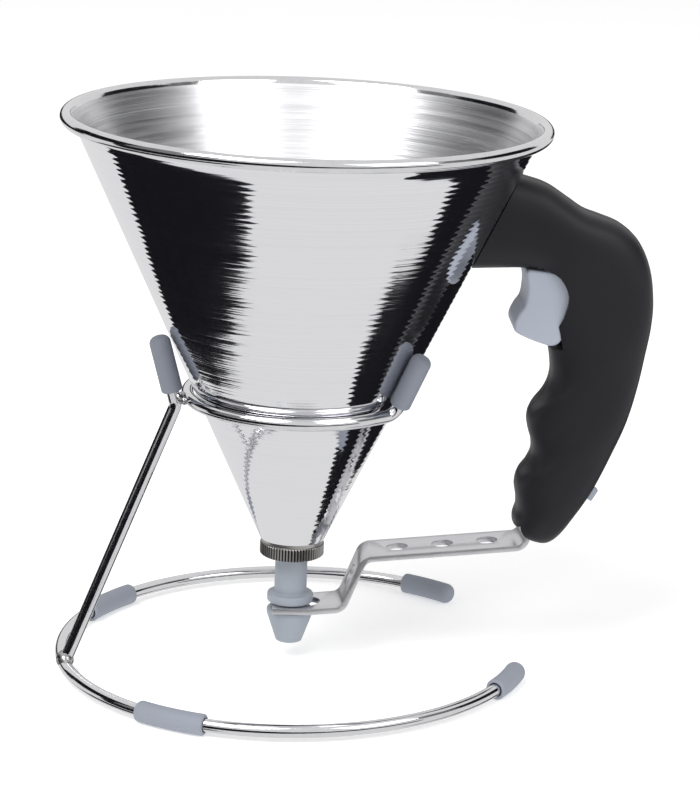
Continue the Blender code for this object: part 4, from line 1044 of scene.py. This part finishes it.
def build_handle():
    """Both halves of the grip with their rooms and bores, and the screws."""
    shells = {side: handle_half(name, side) for name, side in (("grip_near", -1), ("grip_far", 1))}
    pivot = on_handle(*pivot_share)
    corners = strip_corners()
    shaft = corners[-1].x
    tools = []
    reach = FIT_GAP / math.cos(bowl_lean)
    low, high = bowl_bottom, RIM_HEIGHT
    tools.append(turned("bowl_cut", [(0, low), (bowl_radius(low) + reach, low),
                                     (bowl_radius(high) + reach, high), (0, high)], RING_STEPS))
    pad_low, pad_high = (on_handle(0, share)[1] for share in pad_shares)
    reach = (FIT_GAP + BRACKET_PLATE + FIT_GAP) / math.cos(bowl_lean)
    pocket = turned("pad_pocket", [(0, low), (bowl_radius(low) + reach, low),
                                   (bowl_radius(high) + reach, high), (0, high)], RING_STEPS)
    pad_far = bowl_radius(pad_high) + BRACKET_WIDTH
    combine(pocket, side_box("pad_pocket_limit", (0, pad_low - FIT_GAP), (pad_far, pad_high + FIT_GAP),
                             BRACKET_WIDTH + 2 * FIT_GAP), "INTERSECT")
    tools.append(pocket)
    mouth = [on_handle(*share) for share in mouth_shares]
    tools.append(side_prism("trigger_mouth", mouth, HANDLE_WIDTH + CUT_OVERRUN))
    room = [on_handle(*share) for share in trigger_room_shares]
    tools.append(side_prism("trigger_room", room, TRIGGER_WIDTH + 2 * FIT_GAP))
    room = [on_handle(*share) for share in ear_room_shares]
    tools.append(side_prism("ear_room", room, EAR_WIDTH + 2 * FIT_GAP))
    swing = STROKE / 2 + TAIL_THICKNESS / 2 + 2 * SLIDE_GAP
    tools.append(side_box("tail_room", (pivot[0], pivot[1] - swing),
                          (shaft + TAIL_OVERRUN + SLIDE_GAP, pivot[1] + swing), TAIL_WIDTH + 4 * SLIDE_GAP))
    tools.append(side_prism("strip_channel", channel_outline(), 2 * strip_half))
    margin = STRIP_THICKNESS / 2 + SLIDE_GAP
    far, near = corners[4].x + margin, corners[4].x - margin
    notch_low, notch_top = entry_level - STROKE, entry_level + STROKE + margin
    room = STRIP_BEND / 2
    notch = ((handle_start, notch_low), (far, notch_low), (far, notch_top + room), (near, notch_top + room),
             (near - room, notch_top), (handle_start, notch_top))
    tools.append(side_prism("strip_notch", notch, 2 * strip_half))
    place = on_handle(*slide_share)
    hub = Matrix.Translation((place[0], 0, place[1])) @ Matrix.Rotation(math.atan2(*slide_slope_share), 4, "Y")
    deep = -SLIDE_LIP - SLIDE_BODY_DEPTH
    neck, body, extra = SLIDE_NECK / 2 + FIT_GAP, SLIDE_BODY_WIDTH / 2 + FIT_GAP, FIT_GAP
    start = -SLIDE_LENGTH / 2 - SLIDE_GAP
    end = SLIDE_LENGTH / 2 + SLIDE_TRAVEL + SLIDE_GAP
    section = ((deep - extra, -body), (-SLIDE_LIP + extra, -body), (-SLIDE_LIP + extra, -neck),
               (SLIDE_KNOB + CUT_OVERRUN, -neck), (SLIDE_KNOB + CUT_OVERRUN, neck), (-SLIDE_LIP + extra, neck),
               (-SLIDE_LIP + extra, body), (deep - extra, body))
    tools.append(prism("slide_slot", [Vector((across, side, start)) for across, side in section],
                       Vector((0, 0, end - start)), at=hub))
    for tool in tools:
        for side in (-1, 1):
            combine(shells[side], tool)
    recess, hole = SCREW_HEAD_RADIUS + FIT_GAP, SCREW_RADIUS + FIT_GAP
    for name, share in (("arm", arm_screw_share), ("shoulder", shoulder_screw_share), ("grip", grip_screw_share)):
        place = on_handle(*share)
        hub = Matrix.Translation((place[0], 0, place[1])) @ Matrix.Rotation(-math.pi / 2, 4, "X")
        bore = turned("screw_bore_" + name, [
            (0, -SCREW_REACH - FIT_GAP), (hole, -SCREW_REACH - FIT_GAP), (hole, SCREW_HEAD_SEAT),
            (recess, SCREW_HEAD_SEAT), (recess, HANDLE_WIDTH), (0, HANDLE_WIDTH)], SCREW_STEPS, at=hub)
        for side in (-1, 1):
            combine(shells[side], bore)
        build_screw(name, hub)
    for side, name in ((-1, "near"), (1, "far")):
        settle(shells[side], funnel_world, "funnel", ["handle_shell_" + name], "black_plastic", black, sharp=30)


def build_screw(name, hub):
    """A round-headed screw with a cross recess."""
    head = SCREW_HEAD_SEAT + FIT_GAP
    top = head + SCREW_HEAD_HEIGHT
    profile = [(0, -SCREW_REACH), (SCREW_RADIUS * 0.6, -SCREW_REACH), (SCREW_RADIUS, SCREW_RADIUS - SCREW_REACH),
               (SCREW_RADIUS, head), (SCREW_HEAD_RADIUS, head)]
    for step in range(9):
        angle = math.pi / 2 * step / 9
        profile.append((SCREW_HEAD_RADIUS * math.cos(angle) ** 0.8,
                        top - SCREW_HEAD_HEIGHT * 0.62 * (1 - math.sin(angle))))
    profile.append((0, top))
    screw = turned("cross_screw_" + name, profile, SCREW_STEPS)
    for turn in (0, math.pi / 2):
        arm = [Vector((across * CROSS_REACH, side * CROSS_HALF, top - CROSS_DEPTH))
               for across, side in ((-1, -1), (1, -1), (1, 1), (-1, 1))]
        combine(screw, prism("cross_%s_%d" % (name, turn), arm, Vector((0, 0, CROSS_CUT)),
                             at=Matrix.Rotation(turn + CROSS_TURN, 4, "Z")))
    settle(screw, funnel_world @ hub, "funnel", ["handle_screw_" + name], "satin_steel", machined)


build_stand()
build_cone()
build_outlet()
build_piston()
build_strip()
build_trigger()
build_handle()
for tool in cutters:
    bpy.data.objects.remove(tool)


def studio():
    """Pale floor, white surroundings, soft lights, and dark panels that only the steel sees."""
    scene = bpy.context.scene
    floor = Finish("pale_floor", (0.92, 0.92, 0.92), 0.9)
    floor.tint(floor.noise(floor.place, 12.0), 0.995, 1.005)
    floor.shader.inputs["Specular IOR Level"].default_value = 0.0
    floor.shader.inputs["Emission Color"].default_value = (1.0, 1.0, 1.0, 1.0)
    floor.shader.inputs["Emission Strength"].default_value = FLOOR_GLOW
    mesh = bpy.data.meshes.new("floor")
    corners = [(across * FLOOR_SIZE, along * FLOOR_SIZE, 0)
               for across, along in ((-1, -1), (1, -1), (1, 1), (-1, 1))]
    mesh.from_pydata(corners, [], [(0, 1, 2, 3)])
    mesh.materials.append(floor.material)
    ground = bpy.data.objects.new("floor", mesh)
    ground.location.z = -FLOOR_DROP
    bpy.context.collection.objects.link(ground)
    ground.visible_glossy = False

    world = bpy.data.worlds.new("studio")
    scene.world = world
    world.use_nodes = True
    tree = world.node_tree
    tree.nodes.clear()
    path = tree.nodes.new("ShaderNodeLightPath")
    soft = tree.nodes.new("ShaderNodeBackground")
    soft.inputs["Strength"].default_value = WORLD_SOFT
    light = soft.outputs[0]
    for ray, strength in (("Is Glossy Ray", WORLD_MIRRORED), ("Is Camera Ray", WORLD_SEEN)):
        white = tree.nodes.new("ShaderNodeBackground")
        white.inputs["Strength"].default_value = strength
        mix = tree.nodes.new("ShaderNodeMixShader")
        tree.links.new(path.outputs[ray], mix.inputs["Fac"])
        tree.links.new(light, mix.inputs[1])
        tree.links.new(white.outputs[0], mix.inputs[2])
        light = mix.outputs[0]
    out = tree.nodes.new("ShaderNodeOutputWorld")
    tree.links.new(light, out.inputs["Surface"])

    for name, place, size, power in LAMPS:
        lamp = bpy.data.lights.new(name, "AREA")
        lamp.shape = "RECTANGLE"
        lamp.size, lamp.size_y = size
        lamp.energy = power
        item = bpy.data.objects.new(name, lamp)
        item.location = place
        aim = Vector((0, 0, LAMP_AIM)) - item.location
        item.rotation_euler = aim.to_track_quat("-Z", "Y").to_euler()
        bpy.context.collection.objects.link(item)
        item.visible_camera = False

    for name, light, pairs in PANELS:
        card = Finish("card_" + name, (0.012 + light, 0.012 + light, 0.015 + light), 0.9)
        card.tint(card.noise(card.place, 3.0), 0.85, 1.15)
        card.shader.inputs["Specular IOR Level"].default_value = 0.0
        points = []
        for pair in pairs:
            for azimuth, elevation in pair:
                turn, tilt = math.radians(azimuth), math.radians(elevation)
                points.append(Vector((0, 0, PANEL_LEVEL)) + PANEL_REACH * Vector((
                    math.cos(tilt) * math.sin(turn), -math.cos(tilt) * math.cos(turn), math.sin(tilt))))
        faces = [(index, index + 1, index + 3, index + 2) for index in range(0, len(points) - 2, 2)]
        mesh = bpy.data.meshes.new("panel_" + name)
        mesh.from_pydata(points, [], faces)
        mesh.materials.append(card.material)
        panel = bpy.data.objects.new("panel_" + name, mesh)
        bpy.context.collection.objects.link(panel)
        panel.visible_camera = False
        panel.visible_diffuse = False
        panel.visible_shadow = False
        panel.visible_transmission = False
    scene.view_settings.view_transform = "Standard"


FLOOR_SIZE = 6.0
FLOOR_DROP = 0.0001
FLOOR_GLOW = 0.42
WORLD_SOFT = 0.62
WORLD_MIRRORED = 0.96
WORLD_SEEN = 1.0
LAMP_AIM = 0.08
PANEL_LEVEL = 0.1
PANEL_REACH = 4.0
# Name, place, size and power of each lamp
LAMPS = (
    ("key", (-0.7, -0.7, 1.5), (1.0, 1.0), 16.0),
    ("fill", (0.9, -0.9, 1.1), (0.9, 0.9), 6.0),
)
# Each dark panel lies between two lines of directions: degrees round from the camera's side, and up
PANELS = (
    ("left", 0.0, (
        ((-44, -55.7), (-44, -38)), ((-50, -56.2), (-50, -36)), ((-60, -55.4), (-60, -33)),
        ((-74, -53.1), (-74, -29)), ((-91.6, -49.3), (-91.6, -26)), ((-105, -45.4), (-105, -25)),
        ((-118, -41), (-118, -26)), ((-125, -37.9), (-127, -28)), ((-137.5, -32.3), (-134, -29.7)),
        ((-146, -28.4), (-144, -27.9)))),
    ("right", 0.0, (
        ((71, -56.4), (72, -55.9)), ((84, -57.5), (80, -52)), ((100, -54), (97, -46)),
        ((112, -50), (100, -40)), ((122, -41.9), (112, -32)), ((139, -36.1), (130, -22)),
        ((158, -25), (150, -12)), ((166, -20), (164, -8)))),
    ("inside_right", 0.0, (
        ((84, 6), (84, 34)), ((100, 2), (100, 32)), ((118, 0), (118, 28)), ((128, 2), (128, 22)))),
    ("inside_left", 0.0, (
        ((-92, 6), (-92, 38)), ((-105, 2), (-105, 36)), ((-122, 0), (-122, 32)), ((-136, 2), (-136, 26)))),
    ("inside_right_pale", 0.22, (
        ((44, 20), (44, 48)), ((60, 14), (60, 44)), ((84, 6), (84, 38)))),
    ("inside_left_pale", 0.25, (
        ((-44, 20), (-44, 52)), ((-62, 14), (-62, 48)), ((-92, 6), (-92, 42)))),
    ("front", 0.0, (
        ((-100, -20), (-100, 6)), ((-75, -24), (-75, 10)), ((-45, -26), (-45, 12)), ((-15, -22), (-15, 8)),
        ((15, -14), (15, 2)), ((60, -12), (60, -2)))),
    ("behind", 0.0, (
        ((150, -6), (150, 2)), ((180, -8), (180, 4)), ((210, -8), (210, 4)), ((235, -8), (235, 2)))),
)
studio()

# The camera that was fitted to the photo
FOCAL_PIXELS = 2919.9
PHOTO_WIDTH = 700.0
SENSOR_WIDTH = 36.0
lens = bpy.data.cameras.new("photo_view")
lens.sensor_fit = "HORIZONTAL"
lens.sensor_width = SENSOR_WIDTH
lens.lens = FOCAL_PIXELS * SENSOR_WIDTH / PHOTO_WIDTH
lens.clip_start = 0.01
camera = bpy.data.objects.new("photo_view", lens)
camera.matrix_world = Matrix((
    (0.9986029863, 0.0003391057, -0.0528377071, -0.0485751666),
    (-0.0510364994, 0.2651351094, -0.9628596902, -0.8770253062),
    (0.0136826187, 0.9642111659, 0.2647820115, 0.3255900145),
    (0, 0, 0, 1)))
bpy.context.collection.objects.link(camera)
bpy.context.scene.camera = camera
